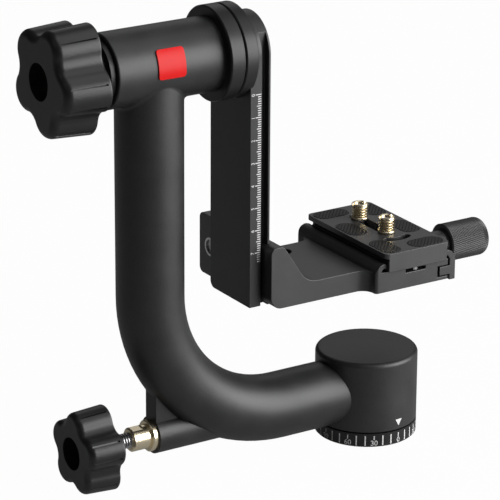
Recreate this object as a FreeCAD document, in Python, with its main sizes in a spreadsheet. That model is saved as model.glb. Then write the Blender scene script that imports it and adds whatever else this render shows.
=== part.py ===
import FreeCAD, Part
import Sketcher
import math
import os
import re

# Gimbal tripod head, in millimetres. The origin is the centre of the base's underside, on the pan axis.
# +Z is up, the tilt axis runs along X, and the arm that carries the camera platform hangs below that axis.

document = FreeCAD.newDocument("GimbalHead")
sheet = document.addObject("Spreadsheet::Sheet", "Sizes")

# Driving dimensions: one named value for each size that can be set by itself.
DIMENSIONS = {
    "running_gap": 0.08,
    "slide_gap": 0.1,
    "small_gap": 0.3,

    "base_radius": 28.5,
    "dial_height": 8.0,
    "dial_width": 4.5,
    "dial_chamfer": 0.8,
    "base_plate_height": 3.1,
    "flange_height": 6.2,
    "spindle_flange_radius": 21.0,
    "flange_seam": 0.1,
    "seam_gap": 0.9,
    "bushing_radius": 6.6,
    "bushing_bore": 4.0,
    "bushing_length": 13.0,
    "base_screw_circle": 17.5,
    "base_screw_radius": 1.5,
    "base_screw_head": 2.9,
    "base_screw_length": 5.0,

    "shoulder_radius": 12.0,
    "shoulder_top": 12.0,
    "journal_radius": 8.5,
    "bearing_width": 6.0,
    "race_wall": 1.9,
    "pan_race_radius": 15.0,
    "drum_height": 18.0,
    "drum_radius": 12.0,
    "nut_height": 3.0,
    "nut_radius": 11.0,
    "balls": 12,

    "housing_height": 40.3,
    "housing_edge": 2.6,
    "housing_roof": 3.0,
    "retainer_radius": 20.0,
    "retainer_depth": 3.0,
    "retainer_hole_radius": 0.6,
    "retainer_hole_circle": 17.0,

    "tube_radius": 18.2,
    "tube_wall": 4.4,
    "tube_axis_height": 26.9,
    "riser_offset": 139.2,
    "bend_radius": 80.0,
    "tilt_axis_height": 234.0,
    "weld_radius": 2.5,

    "rod_radius": 3.5,
    "shoe_radius": 5.0,
    "shoe_length": 8.0,
    "shoe_stroke": 0.3,
    "boss_radius": 10.3,
    "boss_end": 139.0,
    "boss_bore": 5.2,
    "web_half_thickness": 5.5,
    "web_height": 52.0,
    "web_reach": 116.0,
    "bushing_flange_radius": 8.7,
    "bushing_flange_length": 3.3,
    "bushing_barrel_radius": 6.6,
    "bushing_barrel_end": 153.0,
    "bushing_sleeve_length": 18.0,
    "stud_radius": 4.2,
    "stud_pitch": 1.5,

    "pan_knob_radius": 23.8,
    "pan_knob_front": 188.0,
    "pan_knob_length": 20.5,
    "pan_knob_turn": 358.0,
    "pan_knob_recess": 9.0,
    "pan_knob_recess_depth": 8.0,
    "pan_knob_collar": 7.5,
    "pan_knob_collar_length": 3.0,

    "tilt_knob_radius": 31.0,
    "tilt_knob_front": 203.5,
    "tilt_knob_length": 26.0,
    "tilt_knob_turn": 47.0,
    "tilt_knob_recess": 9.9,
    "tilt_knob_recess_depth": 11.0,
    "tilt_knob_insert": 8.0,
    "tilt_knob_collar": 14.0,
    "tilt_knob_collar_length": 6.3,

    "knob_taper": 0.95,
    "knob_valley": 0.78,
    "knob_lobe": 0.385,
    "knob_front_round": 0.14,
    "knob_back_round": 1.2,
    "slit_angle": 12.0,
    "slit_width": 0.8,
    "slit_depth": 1.4,
    "slit_margin": 2.2,

    "tilt_housing_radius": 20.0,
    "tilt_housing_left": 168.1,
    "tilt_housing_round": 1.0,
    "tilt_bore": 12.5,
    "tilt_race_radius": 14.0,
    "tilt_bearing_width": 7.0,
    "tilt_bearing_inset": 3.0,
    "axle_radius": 6.0,
    "axle_flange_radius": 11.0,
    "axle_flange_length": 3.0,
    "axle_thread_radius": 5.0,
    "axle_end": 191.0,
    "tilt_race_wall": 2.0,
    "pressure_plate_radius": 17.5,
    "pressure_plate_thickness": 2.7,
    "disc_radius": 25.5,
    "disc_left": 104.5,
    "disc_thickness": 8.6,
    "disc_gap": 0.5,
    "disc_edge": 0.6,
    "slip_washer_radius": 21.0,
    "slip_washer_bore": 12.0,
    "slip_washer_thickness": 0.4,
    "back_disc_thickness": 7.5,
    "badge_width": 16.0,
    "badge_angle": 46.0,
    "badge_centre": 137.0,
    "badge_tilt": 13.5,
    "badge_thickness": 0.8,
    "badge_corner": 1.6,

    "arm_left": 89.8,
    "arm_thickness": 12.4,
    "arm_width": 39.8,
    "arm_bottom": 96.0,
    "arm_corner": 4.0,
    "groove_start": 7.0,
    "groove_width": 4.1,
    "groove_depth": 3.9,
    "disc_screw_circle": 15.0,
    "disc_screw_radius": 2.0,
    "disc_screw_head": 3.5,
    "disc_screw_head_height": 4.0,
    "disc_screw_length": 12.0,
    "axle_screw_radius": 3.0,
    "axle_screw_head": 5.0,
    "axle_screw_head_height": 6.0,
    "axle_screw_length": 20.0,

    "bracket_half_width": 28.0,
    "bracket_left": 81.3,
    "bracket_top": 130.2,
    "bracket_ridge": 73.4,
    "floor_start": 58.3,
    "floor_top": 107.3,
    "bar_bottom": 95.5,
    "bracket_corner": 7.0,
    "bracket_top_corner": 3.6,
    "set_screw_sink": 5.0,
    "set_screw_socket": 2.5,
    "cove_radius": 12.0,
    "flare_radius": 6.5,
    "hook_reach": 3.6,
    "jaw_outer": 45.0,
    "jaw_thickness": 9.6,
    "ear_thickness": 9.5,
    "lock_offset": 34.2,
    "lock_height": 112.4,
    "lock_stud_radius": 4.0,
    "lock_ring_length": 7.0,
    "lock_stud_inset": 1.0,
    "lock_ring_radius": 5.3,
    "lock_knob_radius": 8.0,
    "knob_clearance": 0.5,
    "lock_knob_length": 11.5,
    "spot_hole_radius": 4.8,
    "spot_hole_depth": 9.0,
    "spot_hole_left": 43.6,
    "spot_hole_side": 19.4,

    "clamp_front": 37.0,
    "clamp_back": 41.0,
    "clamp_wall": 7.1,
    "clamp_setback": 2.5,
    "clamp_corner": 2.0,
    "channel_width": 13.0,
    "channel_depth": 3.0,
    "hook_height": 4.7,
    "hook_bite": 1.1,
    "hook_relief": 3.2,
    "tongue_height": 5.0,
    "tongue_centre": 100.6,
    "tongue_length": 6.8,
    "jaw_gap": 1.2,
    "tongue_gap": 0.6,
    "tongue_end_gap": 1.3,
    "moving_jaw_thickness": 3.7,
    "moving_jaw_drop": 0.8,
    "guide_pin_radius": 1.6,
    "guide_pin_length": 18.0,
    "guide_pin_spacing": 46.0,
    "clamp_screw_radius": 2.6,
    "clamp_screw_depth": 8.0,
    "sleeve_radius": 7.5,
    "sleeve_length": 16.8,
    "clamp_washer_radius": 8.2,
    "clamp_washer_thickness": 0.8,
    "grip_radius": 10.9,
    "grip_length": 26.4,
    "grip_round": 3.6,
    "grip_insert_radius": 5.0,
    "grip_insert_length": 14.0,

    "plate_centre": 5.8,
    "plate_overhang": 2.0,
    "plate_length": 78.4,
    "plate_lip": 2.9,
    "plate_height": 10.6,
    "plate_corner": 3.0,
    "dovetail_width": 38.0,
    "dovetail_foot": 1.8,
    "dovetail_flank": 2.3,
    "plate_stop": 2.0,
    "plate_edge": 0.4,
    "slot_width": 7.2,
    "slot_front": 13.0,
    "slot_back": 25.0,
    "arc_slot_radius": 12.0,
    "arc_slot_width": 4.6,
    "arc_slot_angle": 62.0,
    "screw_front": 8.5,
    "screw_back": 17.5,
    "camera_screw_radius": 3.175,
    "camera_screw_height": 8.0,
    "screw_head_radius": 7.4,
    "screw_head_height": 3.0,
    "screw_head_slot_width": 1.4,
    "screw_head_slot_depth": 1.2,
    "head_pocket_radius": 8.2,
    "head_pocket_depth": 5.4,
    "clip_thickness": 0.8,
    "clip_radius": 6.2,
    "adapter_radius": 4.7625,
    "adapter_height": 9.2,
    "adapter_pitch": 1.5875,
    "adapter_thread_depth": 0.75,
    "adapter_chamfer": 0.5,
    "adapter_slot_width": 1.7,
    "adapter_slot_depth": 1.6,
    "pad_thickness": 1.2,
    "pad_sink": 0.9,
    "pad_long": 21.0,
    "pad_short": 11.4,
    "pad_margin": 1.3,
    "pad_shift": 5.2,
    "pad_rib_pitch": 1.75,
    "pad_rib_width": 0.7,
    "pad_rib_depth": 0.5,
    "stop_screw_radius": 1.5,
    "stop_screw_drop": 2.2,
    "stop_screw_depth": 4.0,
    "stop_screw_inset": 3.4,
}

row = 1
for alias, value in DIMENSIONS.items():
    sheet.set("A%d" % row, alias)
    sheet.set("B%d" % row, str(value))
    sheet.setAlias("B%d" % row, alias)
    row += 1
document.recompute()

# Places worked out from the driving dimensions, as formulas.
PLACES = {
    "flange_radius": "base_radius - dial_width - flange_seam",
    "housing_bottom": "dial_height + seam_gap",
    "housing_top": "housing_bottom + housing_height",
    "lower_bearing": "shoulder_top",
    "drum_bottom": "lower_bearing + bearing_width",
    "upper_bearing": "drum_bottom + drum_height",
    "nut_bottom": "upper_bearing + bearing_width",
    "spindle_top": "nut_bottom + nut_height",
    "ball_circle": "(journal_radius + pan_race_radius) / 2",
    "ball_radius": "(pan_race_radius - journal_radius) / 2 - race_wall - running_gap / 4",
    "bend_centre_x": "-riser_offset + bend_radius",
    "bend_centre_z": "tube_axis_height + bend_radius",
    "shoe_face": "drum_radius + shoe_stroke",
    "rod_start": "shoe_face + shoe_length",
    "sleeve_end": "boss_end - bushing_sleeve_length",
    "stud_end": "sleeve_end + 2",
    "disc_right": "disc_left - disc_thickness",
    "back_disc_left": "disc_right - disc_gap",
    "back_disc_right": "back_disc_left - back_disc_thickness",
    "tilt_ball_circle": "(axle_radius + tilt_race_radius) / 2",
    "tilt_ball_radius": "(tilt_race_radius - axle_radius) / 2 - tilt_race_wall - running_gap / 4",
    "left_bearing": "tilt_housing_left - tilt_bearing_inset",
    "right_bearing": "disc_left + tilt_bearing_width",
    "pressure_plate_right": "tilt_housing_left + small_gap",
    "pressure_plate_left": "pressure_plate_right + pressure_plate_thickness",
    "tilt_knob_back": "tilt_knob_front - tilt_knob_length",
    "tilt_collar_end": "tilt_knob_back - tilt_knob_collar_length",
    "pan_knob_back": "pan_knob_front - pan_knob_length",
    "arm_right": "arm_left - arm_thickness",
    "groove_left": "arm_left - groove_start",
    "groove_right": "groove_left - groove_width",
    "bearing_face": "arm_right - slide_gap",
    "hook_right": "groove_right + slide_gap",
    "jaw_right": "bracket_left - jaw_thickness",
    "ear_left": "jaw_right - small_gap",
    "ear_right": "ear_left - ear_thickness",
    "plate_width": "dovetail_width + 2 * plate_overhang",
    "clamp_left": "dovetail_width / 2 + clamp_wall - plate_centre",
    "clamp_right": "plate_centre + dovetail_width / 2 + clamp_setback",
    "axle_thread_start": "tilt_collar_end - 2 * small_gap",
    "tongue_bottom": "tongue_centre - tongue_height / 2",
    "moving_jaw_left": "clamp_right + jaw_gap",
    "moving_jaw_right": "moving_jaw_left + moving_jaw_thickness",
    "moving_jaw_bottom": "bar_bottom - moving_jaw_drop",
    "slot_floor": "clamp_right - tongue_length",
    "head_seat": "floor_top + head_pocket_depth",
    "clip_bottom": "head_seat - slide_gap - clip_thickness",
    "pad_bottom": "plate_top - pad_sink",
    "sleeve_left": "moving_jaw_right",
    "clamp_washer_left": "sleeve_left + sleeve_length",
    "grip_left": "clamp_washer_left + clamp_washer_thickness",
    "plate_top": "floor_top + plate_height",
    "slab_bottom": "plate_top - plate_lip",
    "dovetail_left": "plate_centre - dovetail_width / 2",
    "dovetail_right": "plate_centre + dovetail_width / 2",
    "flank_bottom": "floor_top + dovetail_foot",
    "flank_top": "flank_bottom + dovetail_flank",
}

CLOSE = 1e-3
WORD = re.compile(r"[a-z_]+[a-z]")


def spelled(formula):
    """Replace each named place by its own formula, so that only the sheet's aliases are left."""
    text = str(formula)
    while True:
        longer = WORD.sub(lambda found: "(%s)" % PLACES[found.group()] if found.group() in PLACES
                          else found.group(), text)
        if longer == text:
            return text
        text = longer


def bound(formula):
    """The formula as an expression on the sheet's cells."""
    return WORD.sub(lambda found: "Sizes." + found.group() if found.group() in DIMENSIONS
                    else found.group(), spelled(formula))


def number(formula):
    """The formula's present value."""
    return float(sheet.evalExpression(WORD.sub(lambda found: str(DIMENSIONS.get(found.group(), found.group())),
                                               spelled(formula))))


TURNS = {
    "Z": FreeCAD.Rotation(),
    "X": FreeCAD.Rotation(FreeCAD.Vector(0, 1, 0), 90),
    "-X": FreeCAD.Rotation(FreeCAD.Vector(0, 1, 0), -90),
    "Y": FreeCAD.Rotation(FreeCAD.Vector(1, 0, 0), -90),
    "-Z": FreeCAD.Rotation(FreeCAD.Vector(1, 0, 0), 180),
}

counter = {"made": 0}


def fresh(kind):
    """A new object of the document under a name of its own."""
    counter["made"] += 1
    return document.addObject(kind, "Form%03d" % counter["made"])


def place(item, at, axis="Z", turn=0):
    """Bind an object's position to formulas; turn is an extra angle about its own Z."""
    rotation = TURNS[axis].multiply(FreeCAD.Rotation(FreeCAD.Vector(0, 0, 1), turn))
    item.Placement = FreeCAD.Placement(FreeCAD.Vector(*[number(value) for value in at]), rotation)
    for side, value in zip("xyz", at):
        item.setExpression(".Placement.Base." + side, bound(value))
    return item


def cylinder(radius, height, at, axis="Z"):
    item = fresh("Part::Cylinder")
    item.setExpression("Radius", bound(radius))
    item.setExpression("Height", bound(height))
    return place(item, at, axis)


def ball(radius, at):
    item = fresh("Part::Sphere")
    item.setExpression("Radius", bound(radius))
    return place(item, at)


def box(low, high):
    """A box between two corners given as formulas."""
    item = fresh("Part::Box")
    for size, start, stop in zip(("Length", "Width", "Height"), low, high):
        item.setExpression(size, bound("(%s) - (%s)" % (stop, start)))
    return place(item, low)


def cut(base, tools):
    """Take every tool away from the base."""
    tool = tools[0]
    if len(tools) > 1:
        tool = fresh("Part::MultiFuse")
        tool.Shapes = tools
    item = fresh("Part::Cut")
    item.Base = base
    item.Tool = tool
    return item


def fuse(pieces):
    item = fresh("Part::MultiFuse")
    item.Shapes = pieces
    item.Refine = True
    return item


def common(first, second):
    item = fresh("Part::MultiCommon")
    item.Shapes = [first, second]
    return item


def group(pieces):
    item = fresh("Part::Compound")
    item.Links = pieces
    return item


def origin_plane(body, role):
    for feature in body.Origin.OriginFeatures:
        if feature.Role == role:
            return feature


def outline(sketch, corners):
    """A closed polygon whose corners are bound to pairs of formulas."""
    points = [FreeCAD.Vector(number(across), number(up), 0) for across, up in corners]
    first = sketch.GeometryCount
    for index, point in enumerate(points):
        sketch.addGeometry(Part.LineSegment(point, points[(index + 1) % len(points)]), False)
    for index in range(len(points)):
        following = first + (index + 1) % len(points)
        sketch.addConstraint(Sketcher.Constraint("Coincident", first + index, 2, following, 1))
    for index, (across, up) in enumerate(corners):
        for direction, value in (("DistanceX", across), ("DistanceY", up)):
            constraint = sketch.addConstraint(
                Sketcher.Constraint(direction, -1, 1, first + index, 1, number(value)))
            sketch.setExpression("Constraints[%d]" % constraint, bound(value))


def new_body(role):
    body = fresh("PartDesign::Body")
    sketch = body.newObject("Sketcher::SketchObject", "Outline")
    sketch.AttachmentSupport = [(origin_plane(body, role), "")]
    sketch.MapMode = "FlatFace"
    return body, sketch


def turned(corners, at=(0, 0, 0), axis="Z"):
    """A body of revolution: corners are (radius, height along the axis)."""
    body, sketch = new_body("XZ_Plane")
    outline(sketch, corners)
    revolution = body.newObject("PartDesign::Revolution", "Turned")
    revolution.Profile = sketch
    revolution.ReferenceAxis = (sketch, ["V_Axis"])
    revolution.Angle = 360
    return place(body, at, axis)


def milled(corners, start, stop):
    """A prism: corners are (x, z), and it runs along Y from start to stop."""
    body, sketch = new_body("XZ_Plane")
    outline(sketch, corners)
    pad = body.newObject("PartDesign::Pad", "Milled")
    pad.Profile = sketch
    pad.Reversed = True
    pad.setExpression("Length", bound("(%s) - (%s)" % (stop, start)))
    return place(body, (0, start, 0))


def rounded(item, radius, chosen):
    """Round the edges of an object that the function chosen picks."""
    document.recompute()
    size = number(radius)
    rounding = fresh("Part::Fillet")
    rounding.Base = item
    rounding.Edges = [(index, size, size) for index, edge in enumerate(item.Shape.Edges, 1) if chosen(edge)]
    return rounding


def near(value, formula, slack=0.02):
    return abs(value - number(formula)) < slack


def edge_middle(edge):
    return edge.valueAt((edge.FirstParameter + edge.LastParameter) / 2)


def along(edge, axis):
    """Whether an edge is straight and runs along an axis."""
    first = edge.valueAt(edge.FirstParameter)
    last = edge.valueAt(edge.LastParameter)
    step = last - first
    others = [abs(getattr(step, side)) for side in "xyz" if side != axis]
    return max(others) < CLOSE / 1000 and abs(getattr(step, axis)) > CLOSE


finished = {}


def finish(node, item):
    """Give a sub-part the name under which it is written."""
    item.Label = node
    finished[node] = item
    return item


# Base: what screws to the tripod and stands still.

def base_screw_places():
    return [("base_screw_circle * cos(%d)" % angle, "base_screw_circle * sin(%d)" % angle)
            for angle in (30, 150, 270)]


def make_dial_ring():
    inner = "base_radius - dial_width"
    return turned([(inner, 0), ("base_radius - dial_chamfer", 0), ("base_radius", "dial_chamfer"),
                   ("base_radius", "dial_height"), (inner, "dial_height")])


def make_base_plate():
    disc = turned([("bushing_radius", 0), ("flange_radius", 0),
                   ("flange_radius", "base_plate_height"), ("bushing_radius", "base_plate_height")])
    holes = []
    for across, back in base_screw_places():
        holes.append(cylinder("base_screw_radius + slide_gap", "flange_height", (across, back, 0)))
        holes.append(cylinder("base_screw_head + slide_gap", "base_plate_height / 2", (across, back, 0)))
    return cut(disc, holes)


def make_spindle():
    post = turned([("bushing_radius", "base_plate_height"), ("spindle_flange_radius", "base_plate_height"),
                   ("spindle_flange_radius", "flange_height"), ("shoulder_radius", "flange_height"),
                   ("shoulder_radius", "shoulder_top"), ("journal_radius", "shoulder_top"),
                   ("journal_radius", "spindle_top"), (0, "spindle_top"), (0, "bushing_length"),
                   ("bushing_radius", "bushing_length")])
    holes = [cylinder("base_screw_radius", "base_screw_length - base_plate_height / 2",
                      (across, back, "base_plate_height / 2")) for across, back in base_screw_places()]
    return cut(post, holes)


def make_thread_bushing():
    return turned([("bushing_bore", 0), ("bushing_radius", 0),
                   ("bushing_radius", "bushing_length"), ("bushing_bore", "bushing_length")])


def make_base_screws():
    screws = []
    for across, back in base_screw_places():
        seat = "base_plate_height / 2"
        head = cylinder("base_screw_head", seat + " - slide_gap", (across, back, "slide_gap"))
        shank = cylinder("base_screw_radius", "base_screw_length - %s - slide_gap" % seat, (across, back, seat))
        screws.append(fuse([head, shank]))
    return group(screws)


def ring(inner, outer, start, stop, axis="Z", height=0):
    """A plain ring about the pan axis, or about an X axis at the given height."""
    corners = [(inner, start), (outer, start), (outer, stop), (inner, stop)]
    return turned(corners, (0, 0, height), axis)


def make_pan_rings(inner, outer):
    return group([ring(inner, outer, start, "(%s) + bearing_width" % start)
                  for start in ("lower_bearing", "upper_bearing")])


def make_pan_balls():
    balls = []
    count = int(number("balls"))
    for start in ("lower_bearing", "upper_bearing"):
        for index in range(count):
            turn = "360 * %d / balls" % index
            balls.append(ball("ball_radius", ("ball_circle * cos(%s)" % turn, "ball_circle * sin(%s)" % turn,
                                              "%s + bearing_width / 2" % start)))
    return group(balls)


def make_brake_drum():
    return ring("journal_radius", "drum_radius", "drum_bottom", "upper_bearing")


def make_spindle_nut():
    nut = ring("journal_radius", "nut_radius", "nut_bottom", "spindle_top")
    notch = box(("-nut_radius", "-journal_radius / 5", "spindle_top - nut_height / 2"),
                ("nut_radius", "journal_radius / 5", "spindle_top"))
    core = cylinder("journal_radius", "spindle_top", (0, 0, 0))
    return cut(nut, [cut(notch, [core])])


# Swing arm: everything that turns about the pan axis.

def brake_bores():
    """The passage of the brake shoe and its rod, along the lower leg's axis."""
    stop = "rod_start + 4"
    return [cylinder("shoe_radius + running_gap", "%s - pan_race_radius + 3" % stop,
                     ("-(%s)" % stop, 0, "tube_axis_height"), "X"),
            cylinder("rod_radius + running_gap", "base_radius", ("-base_radius - 1", 0, "tube_axis_height"), "X")]


def make_pan_housing():
    roof = "housing_top - housing_roof"
    cup = turned([("retainer_radius", "housing_bottom"), ("base_radius", "housing_bottom"),
                  ("base_radius", "housing_top"), (0, "housing_top"), (0, roof), ("pan_race_radius - 1.5", roof),
                  ("pan_race_radius - 1.5", "nut_bottom"), ("pan_race_radius", "nut_bottom"),
                  ("pan_race_radius", "lower_bearing"), ("retainer_radius", "lower_bearing")])
    shell = rounded(cup, "housing_edge",
                    lambda edge: near(edge_middle(edge).z, "housing_top") and near(edge.BoundBox.XMax, "base_radius"))
    return cut(shell, brake_bores())


def make_bearing_retainer():
    collar = ring("shoulder_radius + small_gap", "retainer_radius", "housing_bottom + slide_gap", "lower_bearing")
    holes = [cylinder("retainer_hole_radius", "retainer_depth",
                      ("%d * retainer_hole_circle" % side, 0, "housing_bottom")) for side in (1, -1)]
    return cut(collar, holes)


def swept(radius):
    """The bent tube's solid: riser, bend and lower leg, of the given radius."""
    body, sketch = new_body("XY_Plane")
    sketch.AttachmentOffset.Base.z = number("tilt_axis_height")
    sketch.setExpression(".AttachmentOffset.Base.x", bound("-riser_offset"))
    sketch.setExpression(".AttachmentOffset.Base.z", bound("tilt_axis_height"))
    sketch.addGeometry(Part.Circle(FreeCAD.Vector(0, 0, 0), FreeCAD.Vector(0, 0, 1), number(radius)), False)
    sketch.addConstraint(Sketcher.Constraint("Coincident", 0, 3, -1, 1))
    constraint = sketch.addConstraint(Sketcher.Constraint("Radius", 0, number(radius)))
    sketch.setExpression("Constraints[%d]" % constraint, bound(radius))
    route = body.newObject("Sketcher::SketchObject", "Route")
    route.AttachmentSupport = [(origin_plane(body, "XZ_Plane"), "")]
    route.MapMode = "FlatFace"
    left = number("-riser_offset")
    centre = FreeCAD.Vector(number("bend_centre_x"), number("bend_centre_z"), 0)
    low = number("tube_axis_height")
    bend = number("bend_radius")
    route.addGeometry(Part.LineSegment(FreeCAD.Vector(left, number("tilt_axis_height"), 0),
                                       FreeCAD.Vector(left, centre.y, 0)), False)
    route.addGeometry(Part.ArcOfCircle(Part.Circle(centre, FreeCAD.Vector(0, 0, 1), bend),
                                       math.pi, 1.5 * math.pi), False)
    route.addGeometry(Part.LineSegment(FreeCAD.Vector(centre.x, low, 0), FreeCAD.Vector(0, low, 0)), False)
    route.addConstraint(Sketcher.Constraint("Tangent", 0, 2, 1, 1))
    route.addConstraint(Sketcher.Constraint("Tangent", 1, 2, 2, 1))
    route.addConstraint(Sketcher.Constraint("Vertical", 0))
    route.addConstraint(Sketcher.Constraint("Horizontal", 2))
    for direction, line, end, value in (("DistanceX", 0, 1, "-riser_offset"), ("DistanceY", 0, 1, "tilt_axis_height"),
                                        ("DistanceY", 2, 2, "tube_axis_height")):
        constraint = route.addConstraint(Sketcher.Constraint(direction, -1, 1, line, end, number(value)))
        route.setExpression("Constraints[%d]" % constraint, bound(value))
    route.addConstraint(Sketcher.Constraint("PointOnObject", 2, 2, -2))
    constraint = route.addConstraint(Sketcher.Constraint("Radius", 1, bend))
    route.setExpression("Constraints[%d]" % constraint, bound("bend_radius"))
    pipe = body.newObject("PartDesign::AdditivePipe", "Bent")
    pipe.Profile = sketch
    pipe.Spine = (route, ["Edge1", "Edge2", "Edge3"])
    return body


def make_swing_frame():
    """One casting: the bent tube, the tilt housing on its top, the lock boss and the web above the boss."""
    barrel = cylinder("tilt_housing_radius", "tilt_housing_left - disc_left",
                      ("-tilt_housing_left", 0, "tilt_axis_height"), "X")
    boss = cylinder("boss_radius", "boss_end - web_reach + 20", ("-boss_end", 0, "tube_axis_height"), "X")
    web = box(("-boss_end", "-web_half_thickness", "tube_axis_height"),
              ("-web_reach", "web_half_thickness", "web_height"))
    casting = fuse([swept("tube_radius"), barrel, boss, web])

    def saddle(edge):
        middle = edge_middle(edge)
        reach = math.hypot(middle.y, middle.z - number("tilt_axis_height"))
        side = math.hypot(middle.x + number("riser_offset"), middle.y)
        return near(reach, "tilt_housing_radius", 0.1) and near(side, "tube_radius", 0.1)

    blended = rounded(casting, "weld_radius", saddle)
    ended = rounded(blended, "tilt_housing_round",
                    lambda edge: near(edge.BoundBox.XMax, "-tilt_housing_left")
                    and near(edge.BoundBox.YMax, "tilt_housing_radius"))
    seat = "tilt_race_radius"
    left_depth = "tilt_bearing_inset + tilt_bearing_width"
    tools = [swept("tube_radius - tube_wall"),
             cylinder("tilt_bore", "tilt_housing_left - disc_left", ("-tilt_housing_left", 0, "tilt_axis_height"), "X"),
             cylinder(seat, left_depth, ("-tilt_housing_left", 0, "tilt_axis_height"), "X"),
             cylinder(seat, "tilt_bearing_width", ("-right_bearing", 0, "tilt_axis_height"), "X"),
             cylinder("bushing_barrel_radius", "bushing_sleeve_length", ("-boss_end", 0, "tube_axis_height"), "X"),
             cylinder("boss_bore", "bend_radius", ("-sleeve_end - 1", 0, "tube_axis_height"), "X"),
             cylinder("base_radius", "housing_top * 2", (0, 0, "-housing_top / 2"))]
    void_roof = cylinder("tilt_housing_radius", "tilt_housing_left - disc_left",
                         ("-tilt_housing_left", 0, "tilt_axis_height"), "X")
    tools[0] = cut(tools[0], [void_roof])
    return cut(ended, tools)


def make_lock_bushing():
    bore = "stud_radius + running_gap"
    left = "-bushing_barrel_end"
    shoulder = "-boss_end - bushing_flange_length"
    nose = "bushing_barrel_radius"
    sleeve = turned([(bore, left), (nose + " - 0.8", left), (nose, left + " + 0.8"), (nose, shoulder),
                     ("bushing_flange_radius - 0.6", shoulder), ("bushing_flange_radius", shoulder + " + 0.6"),
                     ("bushing_flange_radius", "-boss_end"), (nose, "-boss_end"), (nose, "-sleeve_end"),
                     (bore, "-sleeve_end")], (0, 0, "tube_axis_height"), "X")
    flats = []
    for low, high in (("-bushing_barrel_radius", "-bushing_barrel_radius + 0.8"),
                      ("bushing_barrel_radius - 0.8", "bushing_barrel_radius")):
        flats.append(box((left + " + 1", "-bushing_barrel_radius", "tube_axis_height + " + low),
                         (shoulder + " - 3", "bushing_barrel_radius", "tube_axis_height + " + high)))
    return cut(sleeve, flats)


def make_front_disc():
    bore = "axle_radius + tilt_race_wall + 1"
    return turned([(bore, "-disc_left"), ("disc_radius - disc_edge", "-disc_left"),
                   ("disc_radius", "-disc_left + disc_edge"), ("disc_radius", "-disc_right - disc_edge"),
                   ("disc_radius - disc_edge", "-disc_right"), (bore, "-disc_right")],
                  (0, 0, "tilt_axis_height"), "X")


def make_slip_washer():
    middle = "-disc_right + disc_gap / 2"
    return ring("slip_washer_bore", "slip_washer_radius", middle + " - slip_washer_thickness / 2",
                middle + " + slip_washer_thickness / 2", "X", "tilt_axis_height")


def make_tilt_rings(inner, outer):
    return group([ring(inner, outer, start, start + " + tilt_bearing_width", "X", "tilt_axis_height")
                  for start in ("-left_bearing", "-right_bearing")])


def make_tilt_balls():
    balls = []
    count = int(number("balls"))
    for start in ("-left_bearing", "-right_bearing"):
        for index in range(count):
            turn = "360 * %d / balls" % index
            balls.append(ball("tilt_ball_radius", (start + " + tilt_bearing_width / 2",
                                                   "tilt_ball_circle * cos(%s)" % turn,
                                                   "tilt_axis_height + tilt_ball_circle * sin(%s)" % turn)))
    return group(balls)


def make_badge():
    """A plain plate bent round the tilt housing."""
    shell = ring("tilt_housing_radius", "tilt_housing_radius + badge_thickness",
                 "-badge_centre - badge_width / 2", "-badge_centre + badge_width / 2", "X", "tilt_axis_height")
    reach = "tilt_housing_radius * 2"
    height = "tilt_housing_radius * sin(badge_angle / 2) * 2"
    block = fresh("Part::Box")
    block.setExpression("Length", bound("badge_width"))
    block.setExpression("Width", bound(reach))
    block.setExpression("Height", bound(height))
    document.recompute()
    corners = rounded(block, "badge_corner", lambda edge: along(edge, "y"))
    rise = math.radians(number("badge_tilt"))
    half = number(height) / 2
    away = number(reach)
    corners.Placement = FreeCAD.Placement(
        FreeCAD.Vector(number("-badge_centre - badge_width / 2"),
                       -away * math.cos(rise) - half * math.sin(rise),
                       number("tilt_axis_height") + away * math.sin(rise) - half * math.cos(rise)),
        FreeCAD.Rotation(FreeCAD.Vector(1, 0, 0), -number("badge_tilt")))
    return common(shell, corners)


# Locks: star knobs with their screws.

def star_outline(radius, turn, height):
    """Five round lobes joined by hollow arcs, as tangent arcs."""
    lobe = radius * number("knob_lobe")
    reach = radius - lobe
    valley = radius * number("knob_valley")
    half = math.pi / 5
    hollow = (valley ** 2 - 2 * reach * math.cos(half) * valley + reach ** 2 - lobe ** 2) / (
        2 * (lobe + reach * math.cos(half) - valley))
    away = valley + hollow
    meeting = math.atan2(away * math.sin(half), away * math.cos(half) - reach)

    def at(distance, angle, size, bearing):
        return FreeCAD.Vector(distance * math.cos(angle) + size * math.cos(bearing),
                              distance * math.sin(angle) + size * math.sin(bearing), height)

    edges = []
    for index in range(5):
        crest = turn + 2 * index * half
        start = at(reach, crest, lobe, crest - meeting)
        stop = at(reach, crest, lobe, crest + meeting)
        edges.append(Part.Arc(start, at(reach, crest, lobe, crest), stop).toShape())
        following = at(reach, crest + 2 * half, lobe, crest + 2 * half - meeting)
        edges.append(Part.Arc(stop, at(valley, crest + half, 0, 0), following).toShape())
    return Part.Wire(edges)


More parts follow.
